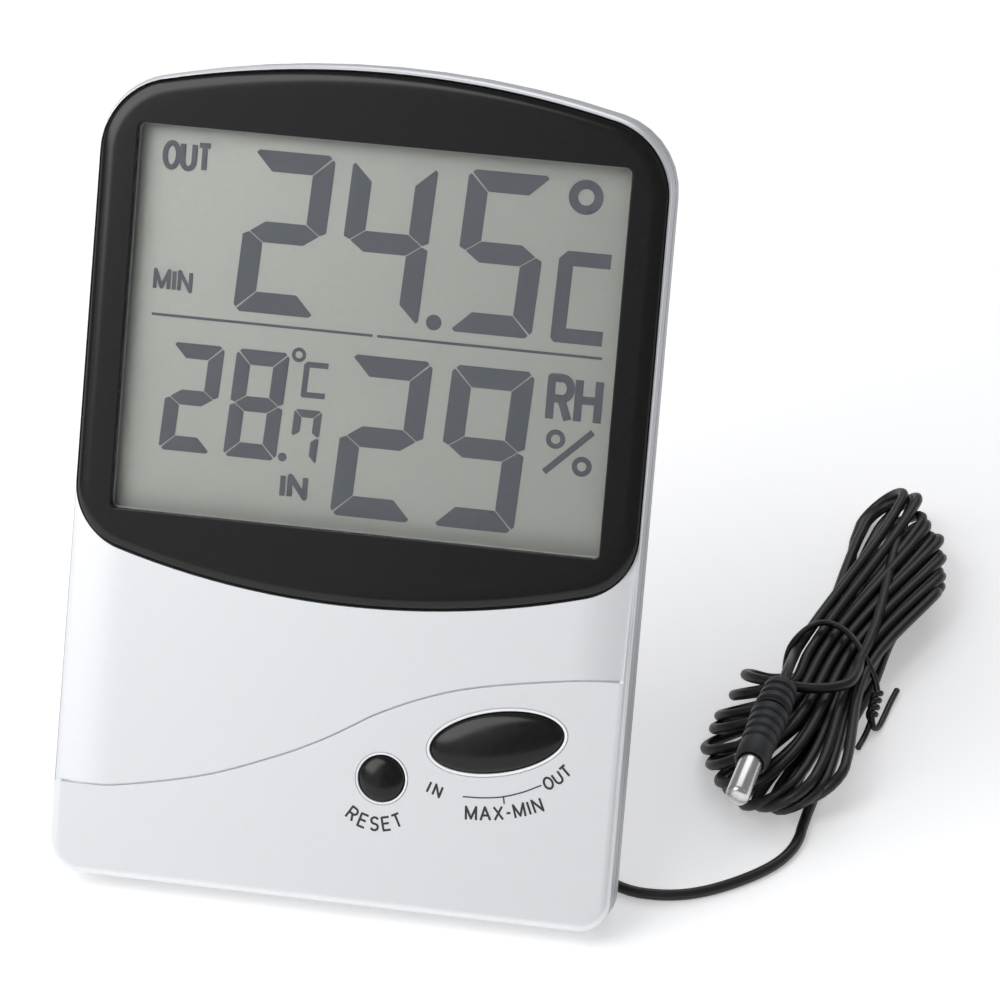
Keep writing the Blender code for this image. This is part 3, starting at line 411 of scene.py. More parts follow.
def add_loft(bm, sections, start_cap=False, end_cap=False):
    """Join outlines of equal point counts, each at its own depth, by rings of faces."""
    rings = []
    for outline, depth in sections:
        rings.append([bm.verts.new((x, depth, z)) for x, z in outline])
    for lower, upper in zip(rings, rings[1:]):
        count = len(lower)
        for index in range(count):
            after = (index + 1) % count
            bm.faces.new((lower[index], lower[after], upper[after], upper[index]))
    if start_cap:
        bm.faces.new(rings[0])
    if end_cap:
        bm.faces.new(rings[-1])


def add_turned(bm, profile, origin, direction, sides=48):
    """Turn a profile of (distance along, radius) about a line from origin."""
    turn = Vector(direction).to_track_quat("Z", "Y").to_matrix().to_4x4()
    place = Matrix.Translation(Vector(origin)) @ turn
    rings = []
    for along, radius in profile:
        angles = [2 * pi * side / sides for side in range(sides if radius else 1)]
        rings.append([bm.verts.new(place @ Vector((radius * cos(a), radius * sin(a), along)))
                      for a in angles])
    for lower, upper in zip(rings, rings[1:]):
        for side in range(sides):
            after = (side + 1) % sides
            corners = [lower[side % len(lower)], lower[after % len(lower)],
                       upper[after % len(upper)], upper[side % len(upper)]]
            bm.faces.new(list(dict.fromkeys(corners)))


def inside(point, outline):
    """Whether a point is inside a closed outline."""
    x, z = point
    result = False
    for (ax, az), (bx, bz) in zip(outline, outline[1:] + outline[:1]):
        if (az > z) != (bz > z) and x < ax + (z - az) * (bx - ax) / (bz - az):
            result = not result
    return result


def edge_distance(point, outline):
    """Distance from a point to the nearest side of a closed outline."""
    best = 1.0
    px, pz = point
    for (ax, az), (bx, bz) in zip(outline, outline[1:] + outline[:1]):
        dx = bx - ax
        dz = bz - az
        t = max(0.0, min(1.0, ((px - ax) * dx + (pz - az) * dz) / (dx * dx + dz * dz)))
        best = min(best, hypot(px - ax - t * dx, pz - az - t * dz))
    return best


def add_patch(bm, outer, holes, loops, lines, spacing, depth):
    """A face of varying depth: triangles between an outer outline and holes, with guide lines."""
    points = []
    edges = []
    closed = [outer, *holes, *loops]
    for order, line in enumerate([*closed, *lines]):
        first = len(points)
        count = len(line)
        sides = count if order < len(closed) else count - 1
        points += [Vector(point) for point in line]
        edges += [(first + index, first + (index + 1) % count) for index in range(sides)]
    across, up = zip(*outer)
    x = min(across) + spacing / 2
    while x < max(across):
        z = min(up) + spacing / 2
        while z < max(up):
            if inside((x, z), outer) and not any(inside((x, z), hole) for hole in holes):
                points.append(Vector((x, z)))
            z += spacing
        x += spacing
    flat, _, faces, _, _, _ = delaunay_2d_cdt(points, edges, [], 0, 1e-6)
    verts = [bm.verts.new((point.x, depth(point.x, point.y), point.y)) for point in flat]
    for face in faces:
        middle = sum((flat[index] for index in face), Vector((0.0, 0.0))) / len(face)
        if inside(middle, outer) and not any(inside(middle, hole) for hole in holes):
            bm.faces.new([verts[index] for index in face])
    bmesh.ops.delete(bm, geom=[vert for vert in bm.verts if not vert.link_faces], context="VERTS")


def softened(node, width, material, body="case"):
    """A copy of a CAD piece with its edges rounded off, which stands for it."""
    bm = bmesh.new()
    bm.from_mesh(frame["nodes"][node].data)
    bmesh.ops.remove_doubles(bm, verts=bm.verts, dist=2e-6)
    bmesh.ops.dissolve_limit(bm, angle_limit=radians(1.0), verts=bm.verts, edges=bm.edges)
    sharp = [edge for edge in bm.edges
             if len(edge.link_faces) == 2 and edge.calc_face_angle(0.0) > radians(35)]
    bmesh.ops.bevel(bm, geom=sharp, offset=width, segments=2, profile=0.5, affect="EDGES",
                    clamp_overlap=True)
    result = make_object(node + "_finished", bm, material, body, Matrix.Identity(4))
    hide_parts(node)
    return result


def make_tube(name, points, radius, material, resolution=4):
    """A round cord of the case along a list of points, closed at both ends."""
    curve = bpy.data.curves.new(name, "CURVE")
    curve.dimensions = "3D"
    curve.bevel_depth = radius
    curve.bevel_resolution = resolution
    curve.use_fill_caps = True
    line = curve.splines.new("POLY")
    line.points.add(len(points) - 1)
    for point, place in zip(line.points, points):
        point.co = (*place, 1.0)
    line.use_smooth = True
    curve.materials.append(material)
    result = add_to_scene(name, curve)
    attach(result, "case")
    return result


# ---- front of the case
def quarter_rings(radius, count=6):
    """Insets that sample a rounded edge evenly round its quarter circle."""
    return [radius * (1 - sin(QUARTER * step / count)) for step in range(1, count + 1)]


def wave_height(x):
    """Height of the wave line above x, by walking along its smooth curve."""
    low, high = 0.0, 1.0
    for _ in range(24):
        middle = (low + high) / 2
        if spline(WAVE, middle).x < x:
            low = middle
        else:
            high = middle
    return spline(WAVE, (low + high) / 2).y


def make_front():
    outer = case_outline(0.0)
    seat = bezel_outline(-SEAT_GAP)
    # Each button stands in a hole with a raised lip, its pale silver a painted highlight, and a
    # fine groove runs round the lip.
    rings = []
    for centre, long, short, tilt, spread in (
        (RESET_CENTRE, RESET_RADIUS, RESET_RADIUS, 0.0, 0.00085),
        (OVAL_CENTRE, OVAL_LONG, OVAL_SHORT, OVAL_TILT, 0.001),
    ):
        growths = {"groove": spread, "wall": spread - 0.00018, "lip": spread - 0.00026,
                   "brow": 0.00034, "hole": 0.00026}
        rings.append({name: ellipse(centre, long + grow, short + grow, tilt)
                      for name, grow in growths.items()})
    wave = [spline(WAVE, index / 60) for index in range(61)]
    wave = [point for point in wave if abs(point.x) < HALF_WIDTH - 0.0001]
    brink = 0.00006
    shifts = (0.0, brink, GROOVE_WIDTH - brink, GROOVE_WIDTH)
    lines = [[point - Vector((0.0, shift)) for point in wave] for shift in shifts]

    def depth(x, z):
        below = wave_height(x) - z
        past = max(0.0, (abs(x) - ROLL_START) / (HALF_WIDTH - ROLL_START))
        rolled = ROLL_DROP * past ** 2
        fade = max(0.0, min(1.0, (HALF_WIDTH - EDGE_RADIUS - abs(x)) / 0.0006))
        if below < brink / 2:
            result = rolled
        elif below < GROOVE_WIDTH - brink / 2:
            result = rolled * (1 - fade) + (max(rolled, PANEL_STEP) + GROOVE_DEPTH) * fade
        else:
            result = PANEL_STEP
        room = edge_distance((x, z), outer)
        if room < EDGE_RADIUS:
            fall = EDGE_RADIUS - sqrt(max(0.0, EDGE_RADIUS ** 2 - (EDGE_RADIUS - room) ** 2))
            result = result * (1 - (1 - room / EDGE_RADIUS) ** 2) + fall
        return result

    bm = bmesh.new()
    insets = (*quarter_rings(EDGE_RADIUS), EDGE_RADIUS + FLAT_MARGIN)
    loops = [case_outline(inset) for inset in insets]
    holes = [seat, *(ring["groove"] for ring in rings)]
    add_patch(bm, outer, holes, loops, lines, spacing=0.0016, depth=depth)
    add_loft(bm, ((outer, EDGE_RADIUS), (outer, PARTING - 0.00035), (case_outline(0.0003), PARTING),
                  (case_outline(0.0018), PARTING)))
    add_loft(bm, ((seat, EDGE_RADIUS), (seat, SEAT_DEPTH)))
    low = PANEL_STEP + RING_GROOVE_DEPTH
    for ring in rings:
        add_loft(bm, ((ring["groove"], PANEL_STEP), (ring["groove"], low), (ring["hole"], low),
                      (ring["hole"], HOLE_DEPTH)))
    weld(bm)
    face = make_object("front_shell", bm, SILVER, smooth=radians(32))
    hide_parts("front_case")
    # The side wall takes the darker rear silver, a painted shade for the side turned away from the
    # lights.
    face.data.materials.append(SHADED_SILVER_BACK)
    for polygon in face.data.polygons:
        centre = TO_CASE @ polygon.center
        if centre.y > EDGE_RADIUS and edge_distance((centre.x, centre.z), outer) < EDGE_RADIUS:
            polygon.material_index = 1

    bm = bmesh.new()
    foot = low - LIP_FOOT
    for ring in rings:
        add_loft(bm, ((ring["wall"], foot), (ring["wall"], PANEL_STEP),
                      (ring["lip"], PANEL_STEP - LIP_RISE), (ring["brow"], PANEL_STEP - 0.0001),
                      (ring["hole"], PANEL_STEP), (ring["hole"], foot)))
    weld(bm)
    make_object("button_lips", bm, LIP_HIGHLIGHT_SILVER)


def make_bezel():
    outer = bezel_outline(0.0)

    def depth(x, z):
        room = edge_distance((x, z), outer)
        if room >= BEZEL_RIM:
            return BEZEL_FACE
        share = 1 - room / BEZEL_RIM
        return BEZEL_FACE + BEZEL_RIM_DROP * (1 - sqrt(max(0.0, 1 - share ** 2)))

    bm = bmesh.new()
    rings = [bezel_outline(inset) for inset in quarter_rings(BEZEL_RIM, 8)]
    # A loop next to the rim and one next to the opening keep their shading off the flat face.
    rings += [bezel_outline(BEZEL_RIM + FLAT_MARGIN), window_outline(-0.0003)]
    opening = window_outline(-WINDOW_BREAK)
    edge = window_outline(0.0)
    add_patch(bm, outer, [opening], rings, [], spacing=0.004, depth=depth)
    add_loft(bm, ((outer, BEZEL_FACE + BEZEL_RIM_DROP), (outer, bezel_high.y)))
    add_loft(bm, ((opening, BEZEL_FACE),
                  (window_outline(-WINDOW_BREAK / 3), BEZEL_FACE + WINDOW_BREAK / 3),
                  (edge, BEZEL_FACE + WINDOW_BREAK), (edge, bezel_high.y),
                  (window_outline(-0.004), bezel_high.y)))
    weld(bm)
    bezel = make_object("bezel", bm, BLACK, smooth=radians(30))
    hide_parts("display_bezel")

    low, high = case_box("display_window")
    bm = bmesh.new()
    outline = rounded_rectangle(low.x, low.z, high.x, high.z, 0.002)
    add_loft(bm, ((outline, low.y), (outline, high.y)), True, True)
    weld(bm)
    window = make_object("window", bm, CLEAR)
    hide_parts("display_window")

    # A thin pale border just inside the bezel, a painted highlight along the edge of the window's
    # opening.
    bm = bmesh.new()
    top = low.y - 0.0001
    face = top - 0.00015
    inner = window_outline(0.0002)
    add_loft(bm, ((edge, top), (edge, face), (inner, face), (inner, top)))
    weld(bm)
    make_object("window_border", bm, WINDOW_EDGE_HIGHLIGHT)


# ---- display
SEGMENTS = {"2": "abged", "4": "fgbc", "5": "afgcd", "7": "abcf", "8": "abcdefg", "9": "abcdfg"}


def segment_outlines(width, height, thick, gap):
    """The seven segments of a digit standing on its own lower left corner."""
    cut = thick * 0.28
    half = height / 2
    low = half - thick / 2
    high = half + thick / 2
    nose = thick * 0.3
    top = [(cut + gap, height), (width - cut - gap, height),
           (width - cut * 0.5 - gap, height - cut * 0.5), (width - thick - gap, height - thick),
           (thick + gap, height - thick), (cut * 0.5 + gap, height - cut * 0.5)]
    left = [(0.0, height - cut - gap), (cut * 0.4, height - cut * 0.6 - gap),
            (thick, height - thick - gap), (thick, high + gap), (nose, half + gap),
            (0.0, half + cut * 0.5 + gap)]

    def mirrored(outline):
        return [(width - x, z) for x, z in reversed(outline)]

    def flipped(outline):
        return [(x, height - z) for x, z in reversed(outline)]

    middle = [(nose + gap, half), (thick + gap, high), (width - thick - gap, high),
              (width - nose - gap, half), (width - thick - gap, low), (thick + gap, low)]
    return {"a": top, "f": left, "b": mirrored(left), "e": flipped(left),
            "c": flipped(mirrored(left)), "d": flipped(top), "g": middle}


def add_flat(bm, outline, depth):
    """A thin flat piece with its face at depth."""
    front = [bm.verts.new((x, depth, z)) for x, z in outline]
    back = [bm.verts.new((x, depth + INK_THICKNESS, z)) for x, z in outline]
    bm.faces.new(front)
    bm.faces.new(list(reversed(back)))
    for index in range(len(outline)):
        after = (index + 1) % len(outline)
        bm.faces.new((front[index], back[index], back[after], front[after]))


def add_digit(bm, digit, corner, width, height, style, depth):
    """A seven-segment digit; slant is how far its top leans to the right, for its whole height."""
    left, low = corner
    slant, thick, gap = style
    outlines = segment_outlines(width, height, thick, gap)
    for letter in SEGMENTS[digit]:
        outline = [(left + x + slant * z / height, low + z) for x, z in outlines[letter]]
        add_flat(bm, outline, depth)


def bow(centre, across, up, start, end, count=10):
    """Points on an elliptical arc between two angles in degrees."""
    points = []
    for step in range(count + 1):
        angle = radians(start + (end - start) * step / count)
        points.append((centre[0] + across * cos(angle), centre[1] + up * sin(angle)))
    return points


# Plain capitals as strokes between 0 and 1 up their height: width, then the lines.
LETTERS = {
    "A": (0.74, [[(0, 0), (0.37, 1), (0.74, 0)], [(0.13, 0.36), (0.61, 0.36)]]),
    "E": (0.56, [[(0.56, 1), (0, 1), (0, 0), (0.56, 0)], [(0, 0.52), (0.5, 0.52)]]),
    "H": (0.6, [[(0, 0), (0, 1)], [(0.6, 0), (0.6, 1)], [(0, 0.52), (0.6, 0.52)]]),
    "I": (0.12, [[(0.06, 0), (0.06, 1)]]),
    "M": (0.78, [[(0, 0), (0, 1), (0.39, 0.1), (0.78, 1), (0.78, 0)]]),
    "N": (0.64, [[(0, 0), (0, 1), (0.64, 0), (0.64, 1)]]),
    "O": (0.72, [bow((0.36, 0.5), 0.36, 0.5, 0, 360, 28)]),
    "R": (0.6, [[(0, 0), (0, 1), (0.34, 1), *bow((0.34, 0.75), 0.25, 0.25, 80, -80, 8),
                  (0.34, 0.5), (0, 0.5)], [(0.32, 0.5), (0.56, 0)]]),
    "S": (0.56, [[*bow((0.28, 0.75), 0.27, 0.25, 25, 262),
                  *bow((0.29, 0.25), 0.28, 0.25, 80, -155)]]),
    "T": (0.6, [[(0, 1), (0.6, 1)], [(0.3, 1), (0.3, 0)]]),
    "U": (0.62, [[(0, 1), (0, 0.33), *bow((0.31, 0.33), 0.31, 0.33, 195, 345, 10),
                  (0.62, 0.33), (0.62, 1)]]),
    "X": (0.64, [[(0, 0), (0.64, 1)], [(0, 1), (0.64, 0)]]),
    "-": (0.3, [[(0, 0.44), (0.3, 0.44)]]),
}
LETTER_GAP = 0.24
STROKE_RISE = 0.0000006


def add_stroke(bm, line, width, depth):
    """A line of constant width along points in the plane, with rounded corners.

    Each of its faces lies a hair in front of the one before, so that none of them coincide.
    """
    half = width / 2
    line = [Vector(point) for point in line]
    depth -= STROKE_RISE * (len(bm.faces) % 60)
    for start, end in zip(line, line[1:]):
        across = Vector((start.y - end.y, end.x - start.x)).normalized() * half
        corners = (start + across, start - across, end - across, end + across)
        bm.faces.new([bm.verts.new((corner.x, depth, corner.y)) for corner in corners])
        depth -= STROKE_RISE
    for corner in line[1:-1]:
        disk = ellipse(corner, half, half, 0.0, 12)
        bm.faces.new([bm.verts.new((x, depth, z)) for x, z in disk])
        depth -= STROKE_RISE


def word_width(words):
    return sum(LETTERS[letter][0] for letter in words) + LETTER_GAP * (len(words) - 1)


def add_words(bm, words, box, width, depth):
    """A word fitted into a box (left, low, right, high), its strokes of one width."""
    left, low, right, high = box
    tall = high - low - width
    stretch = (right - left - width) / word_width(words)
    start = 0.0
    for letter in words:
        wide, lines = LETTERS[letter]
        for line in lines:
            points = [(left + width / 2 + (start + x) * stretch, low + width / 2 + z * tall)
                      for x, z in line]
            add_stroke(bm, points, width, depth)
        start += wide + LETTER_GAP


def add_curved_words(bm, words, line, cap, width, depth):
    """Letters set one by one along a smooth line through their middles."""
    total = word_width(words)
    start = 0.0
    for letter in words:
        wide, strokes = LETTERS[letter]
        share = (start + wide / 2) / total
        start += wide + LETTER_GAP
        centre = spline(line, share)
        heading = spline(line, min(1.0, share + 0.03)) - spline(line, max(0.0, share - 0.03))
        heading.normalize()
        up = Vector((-heading.y, heading.x))
        for stroke in strokes:
            points = [centre + heading * (x - wide / 2) * cap + up * (z - 0.5) * cap
                      for x, z in stroke]
            add_stroke(bm, points, width, depth)


def make_display():
    low, high = case_box("lcd_panel")
    depth = low.y - LCD_LIFT - SEGMENT_LIFT
    panel = softened("lcd_panel", 0.0002, POLARISER)
    for vertex in panel.data.vertices:
        place = TO_CASE @ vertex.co
        if place.y < (low.y + high.y) / 2:
            vertex.co = CASE @ (place - Vector((0.0, LCD_LIFT, 0.0)))
    bm = bmesh.new()
    # Slant, thickness and gap of the segments.
    big = (0.0017, 0.004, 0.00013)
    small = (0.0013, 0.0029, 0.00013)
    tiny = (0.0006, 0.0015, 0.0001)
    for digit, left, foot, width, height, style in (
        ("2", -0.0272, 0.1115, 0.016, 0.031, big),
        ("4", -0.0078, 0.1116, 0.0164, 0.0309, big),
        ("5", 0.0145, 0.1117, 0.016, 0.0309, big),
        ("2", -0.0397, 0.0836, 0.0103, 0.0208, small),
        ("8", -0.027, 0.0836, 0.0103, 0.0208, small),
        ("7", -0.0143, 0.0836, 0.0054, 0.0104, tiny),
        ("2", -0.0054, 0.0745, 0.016, 0.031, big),
        ("9", 0.0144, 0.0745, 0.0158, 0.031, big),
    ):
        add_digit(bm, digit, (left, foot), width, height, style, depth)
    for centre, radius in (((0.0117, 0.113), 0.0015), ((-0.0154, 0.0845), 0.00085)):
        add_flat(bm, ellipse(centre, radius, radius, 0.0, 24), depth)

    def add_ring(centre, outer_radius, inner_radius):
        outer = ellipse(centre, outer_radius, outer_radius, 0.0, 32)
        inner = ellipse(centre, inner_radius, inner_radius, 0.0, 32)
        add_loft(bm, ((outer, depth), (inner, depth), (inner, depth + INK_THICKNESS)))

    add_ring((0.0387, 0.1393), 0.0033, 0.00155)
    add_ring((-0.0137, 0.1043), 0.0014, 0.0007)
    # The two capital C shapes beside the degree rings.
    for left, foot, width, height, thick, lean in (
        (0.0341, 0.1116, 0.0099, 0.0174, 0.0028, 0.0005),
        (-0.0128, 0.0963, 0.0047, 0.0069, 0.0011, 0.0003),
    ):
        cut = thick * 0.55
        outline = [(cut, height), (width, height), (width, height - thick), (thick, height - thick),
                   (thick, thick), (width, thick), (width, 0.0), (cut * 0.5, 0.0), (0.0, cut * 0.5),
                   (0.0, height - cut)]
        add_flat(bm, [(left + x + lean * z / height, foot + z) for x, z in outline], depth)
    for left, right in ((-0.0429, 0.0002), (0.0011, 0.0443)):
        add_flat(bm, [(left, 0.1091), (right, 0.1091), (right, 0.1096), (left, 0.1096)], depth)
    for text, box, width in (
        ("OUT", (-0.0431, 0.137, -0.0333, 0.1427), 0.00105),
        ("MIN", (-0.0431, 0.1139, -0.0354, 0.1182), 0.00075),
        ("IN", (-0.0157, 0.0766, -0.01, 0.0815), 0.00105),
        ("RH", (0.0344, 0.0963, 0.0451, 0.1057), 0.00155),
    ):
        add_words(bm, text, box, width, depth)
    # The percent sign: a slash between two rings.
    add_stroke(bm, ((0.0351, 0.0869), (0.0438, 0.0953)), 0.0012, depth)
    add_ring((0.0368, 0.0933), 0.00185, 0.0009)
    add_ring((0.0422, 0.0886), 0.0019, 0.0009)
    weld(bm)
    make_object("display_digits", bm, SEGMENT)


# ---- printed lettering
def make_lettering():
    depth = PANEL_STEP - LETTERING_LIFT
    bm = bmesh.new()
    for words, line, cap in (
        ("RESET", ((0.0034, 0.0183), (0.0059, 0.0169), (0.0086, 0.0164), (0.0113, 0.0168),
                   (0.0137, 0.0179)), 0.0025),
        ("IN", ((0.0184, 0.0248), (0.0198, 0.0243), (0.0211, 0.0239)), 0.0021),
        ("OUT", ((0.0407, 0.0276), (0.043, 0.0292), (0.045, 0.0312)), 0.0022),
        ("MAX-MIN", ((0.026, 0.0205), (0.0297, 0.0208), (0.0334, 0.0214), (0.037, 0.0224),
                     (0.0405, 0.0239)), 0.0025),
    ):
        add_curved_words(bm, words, line, cap, LETTER_STROKE, depth)
    # The arc under the oval button and its tick.
    line = smooth_route(((0.0252, 0.0236), (0.029, 0.0238), (0.0327, 0.0244), (0.0365, 0.0257),
                         (0.0401, 0.0275)), 5)
    for stroke in (line, ((0.033, 0.0245), (0.0333, 0.0231))):
        add_stroke(bm, stroke, FINE_STROKE, depth)
    weld(bm)
    make_object("printed_lettering", bm, INK)


# ---- buttons
def make_buttons():
    bm = bmesh.new()
    radius = RESET_RADIUS
    crown = 0.0015
    profile = [(-crown * sin(angle) + BUTTON_SINK, radius * cos(angle))
               for angle in [QUARTER * step / 10 for step in range(9, -1, -1)]]
    profile = [(-crown + BUTTON_SINK, 0.0)] + profile + [(HOLE_DEPTH, radius)]
    add_turned(bm, profile, (RESET_CENTRE[0], 0.0, RESET_CENTRE[1]), (0, 1, 0), 64)
    weld(bm)
    reset = make_object("reset_cap", bm, BUTTON_BLACK, "reset")
    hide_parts("reset_button")

    bm = bmesh.new()
    crown = 0.0018
    sections = []
    for step in range(11, -1, -1):
        angle = QUARTER * step / 12
        scale = cos(angle)
        outline = ellipse(OVAL_CENTRE, OVAL_LONG * scale, OVAL_SHORT * scale, OVAL_TILT)
        sections.append((outline, -crown * sin(angle) + BUTTON_SINK))
    sections.append((ellipse(OVAL_CENTRE, OVAL_LONG, OVAL_SHORT, OVAL_TILT), 0.004))
    add_loft(bm, sections, start_cap=True)
    weld(bm)
    selector = make_object("selector_cap", bm, BUTTON_BLACK, "selector")
    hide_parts("selector_button")


# ---- sensor lead, probe and tie
def run(start, start_way, end, end_way, steps=9):
    """A strand that leaves start and reaches end in the given directions, easing in height."""
    flat_start = start.xy
    flat_end = end.xy
    reach = (flat_end - flat_start).length / 3
    points = []
    for step in range(steps + 1):
        t = step / steps
        place = (flat_start * (1 - t) ** 3 + (flat_start + start_way * reach) * 3 * t * (1 - t) ** 2
                 + (flat_end - end_way * reach) * 3 * t ** 2 * (1 - t) + flat_end * t ** 3)
        ease = t * t * (3 - 2 * t)
        points.append(Vector((*place, start.z + (end.z - start.z) * ease)))
    return points


def fold(start, end, outward, steps=10):
    """A half circle from start to end that bulges outward."""
    middle = (start + end) / 2
    half = (end - start) / 2
    bulge = Vector((*outward, 0.0)) * half.length
    angles = [-QUARTER + pi * step / steps for step in range(1, steps)]
    return [middle + bulge * cos(angle) + half * sin(angle) for angle in angles]


def make_turn(index, along, side, chance):
    """Where one turn of the hank passes its waist and its two ends, below and above."""
    share = index / (HANK_TURNS - 1)
    odd = index % 2
    low = CABLE_RADIUS + 0.0001
    waist = HANK_WAIST + side * WAIST_HALF_WIDTH * (2 * share - 1)
    top_height = HANK_TOP - 0.0012 * odd + chance.uniform(-0.0003, 0.0003)
    low_height = low + 0.0009 * odd
    turn = {"waist_low": Vector((*waist, low + 0.0017 * odd)),
            "waist_top": Vector((*waist, WAIST_TOP - 0.0017 * odd))}
    for end, tips, heading, lean in (("far", FAR_TIPS, along, FAR_LEAN - 0.0024 * share),
                                     ("near", NEAR_TIPS, -along, NEAR_LEAN)):
        tip = spline(tips, share)
        control = waist + heading * (tip - waist).length / 2
        way = (tip - control).normalized()
        tip = tip - way * chance.uniform(0.0, 0.0022)
        sideways = Vector((way.y, -way.x))
        if sideways.dot(side) < 0:
            sideways = -sideways
        lean += chance.uniform(-0.0012, 0.0012)
        centre = tip - way * hypot(top_height - low_height, lean) / 2
        turn[end + "_way"] = way
        turn[end + "_low"] = Vector((*(centre - sideways * lean / 2), low_height))
        turn[end + "_top"] = Vector((*(centre + sideways * lean / 2), top_height))
    return turn


def level_ends(turn, following):
    """Bring the two ends of the near fold between two turns side by side, in one direction."""
    way = (turn["near_way"] + following["near_way"]).normalized()
    turn["leave_way"] = way
    following["enter_way"] = way
    ahead = way * (following["near_low"] - turn["near_top"]).xy.dot(way) / 2
    turn["near_top"] += Vector((*ahead, 0.0))
    following["near_low"] -= Vector((*ahead, 0.0))


def hank_route():
    """The cable's path through the hank, from the table to the last run under the tie."""
    along = Vector((cos(HANK_HEADING), sin(HANK_HEADING)))
    side = Vector((along.y, -along.x))
    chance = random.Random(4)
    turns = [make_turn(index, along, side, chance) for index in range(HANK_TURNS)]
    for index in range(HANK_TURNS - 1, 1, -1):
        level_ends(turns[index], turns[index - 1])
    path = []
    for index in range(HANK_TURNS - 1, -1, -1):
        turn = turns[index]
        if index == HANK_TURNS - 1:
            path += run(Vector(LEAD_ROUTE[-1]), Vector((0.05, 1.0)), turn["waist_low"], along)[1:]
        elif index > 0:
            path += run(turn["near_low"], -turn["enter_way"], turn["waist_low"], along)
        leaving = along if index > 0 else CROSSING_WAY
        path += run(turn["waist_low"], leaving, turn["far_low"], turn["far_way"])[1:]
        path += fold(turn["far_low"], turn["far_top"], turn["far_way"])
        if index == 1:
            path += run(turn["far_top"], -turn["far_way"], Vector(CROSSING[0]), -along)
            path += smooth_route([*CROSSING, turns[0]["waist_low"]], 4)[1:]
        else:
            path += run(turn["far_top"], -turn["far_way"], turn["waist_top"], -along)
        if index > 1:
            path += run(turn["waist_top"], -along, turn["near_top"], turn["leave_way"])[1:]
            path += fold(turn["near_top"], turns[index - 1]["near_low"], turn["leave_way"])
    return path


def probe_line():
    """Rear and front centre of the whole probe, taken from its two CAD nodes."""
    sleeve_low, sleeve_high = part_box("probe_sleeve")
    tube_low, tube_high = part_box("probe_tube")
    tube_middle = (tube_low + tube_high) / 2
    sleeve_middle = (sleeve_low + sleeve_high) / 2
    way = (tube_middle - sleeve_middle).normalized()
    front_gap = (tube_middle.y - tube_low.y) / -way.y
    rear_gap = (sleeve_high.y - sleeve_middle.y) / -way.y
    return sleeve_middle - way * rear_gap, tube_middle + way * front_gap


def make_probe():
    rear, front = probe_line()
    way = (front - rear).normalized()
    profile = [(0.0004, 0.0), (0.0002, 0.002), (0.0002, 0.0027), (0.0007, 0.0032)]
    # Three ribs, a groove, then four more ribs and the smooth collar.
    rib_pitch = 0.0026
    start = 0.0012
    for radius in (0.0033, 0.00345, 0.0036):
        profile += [(start, radius), (start + 0.0003, radius + 0.00015),
                    (start + 0.0014, radius + 0.00015), (start + 0.0017, radius - 0.0003),
                    (start + 0.0022, radius - 0.0003)]
        start += rib_pitch
    profile += [(0.0091, 0.0037), (0.0094, 0.0036), (0.0095, 0.0027), (0.0102, 0.0027),
                (0.0103, 0.0037), (0.0105, 0.0039)]
    start = 0.0108
    for radius in (0.0037, 0.0036, 0.0035, 0.0034):
        profile += [(start, radius + 0.00015), (start + 0.0013, radius + 0.00015),
                    (start + 0.0016, radius - 0.0003), (start + 0.0021, radius - 0.0003),
                    (start + 0.0024, radius)]
        start += rib_pitch
    profile += [(0.0214, 0.0034), (0.022, 0.00345), (SLEEVE_LENGTH - 0.0006, 0.0034),
                (SLEEVE_LENGTH - 0.0001, 0.0031), (SLEEVE_LENGTH, 0.0027),
                (SLEEVE_LENGTH - 0.0006, 0.0024)]
    bm = bmesh.new()
    add_turned(bm, profile, rear, way, 44)
    weld(bm)
    sleeve = make_object("ribbed_sleeve", bm, SLEEVE, place=Matrix.Identity(4))
    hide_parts("probe_sleeve")

    length = (front - rear).length
    radius = TUBE_RADIUS
    bm = bmesh.new()
    add_turned(bm, ((SLEEVE_LENGTH - 0.003, radius), (length - 0.0009, radius),
                    (length - 0.0004, radius - 0.0002), (length - 0.0001, radius - 0.0006),
                    (length, radius - 0.0011), (length + 0.00015, 0.0006), (length + 0.0001, 0.0)),
               rear, way, 48)
    weld(bm)
    tube = make_object("steel_tube", bm, PROBE, place=Matrix.Identity(4))
    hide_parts("probe_tube")
    return sleeve, tube, rear


def make_lead(sleeve, tube, rear):
    points = smooth_route(LEAD_ROUTE, 3) + hank_route()
    # Under the tie, up over the hank and a little way into the sleeve.
    ending = [points[-1], (0.0779, 0.047, 0.0108), (0.0781, 0.0405, 0.0136),
              (0.0781, 0.035, 0.0151), rear + Vector((0.0, 0.0004, 0.0))]
    points += smooth_route(ending, 5)[1:]
    lead = make_tube("sensor_lead", points, CABLE_RADIUS, CABLE)
    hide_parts("sensor_cable", "cable_hank", "probe_lead")
    length = sum((b - a).length for a, b in zip(points, points[1:]))
    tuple(LEAD_ROUTE[0])


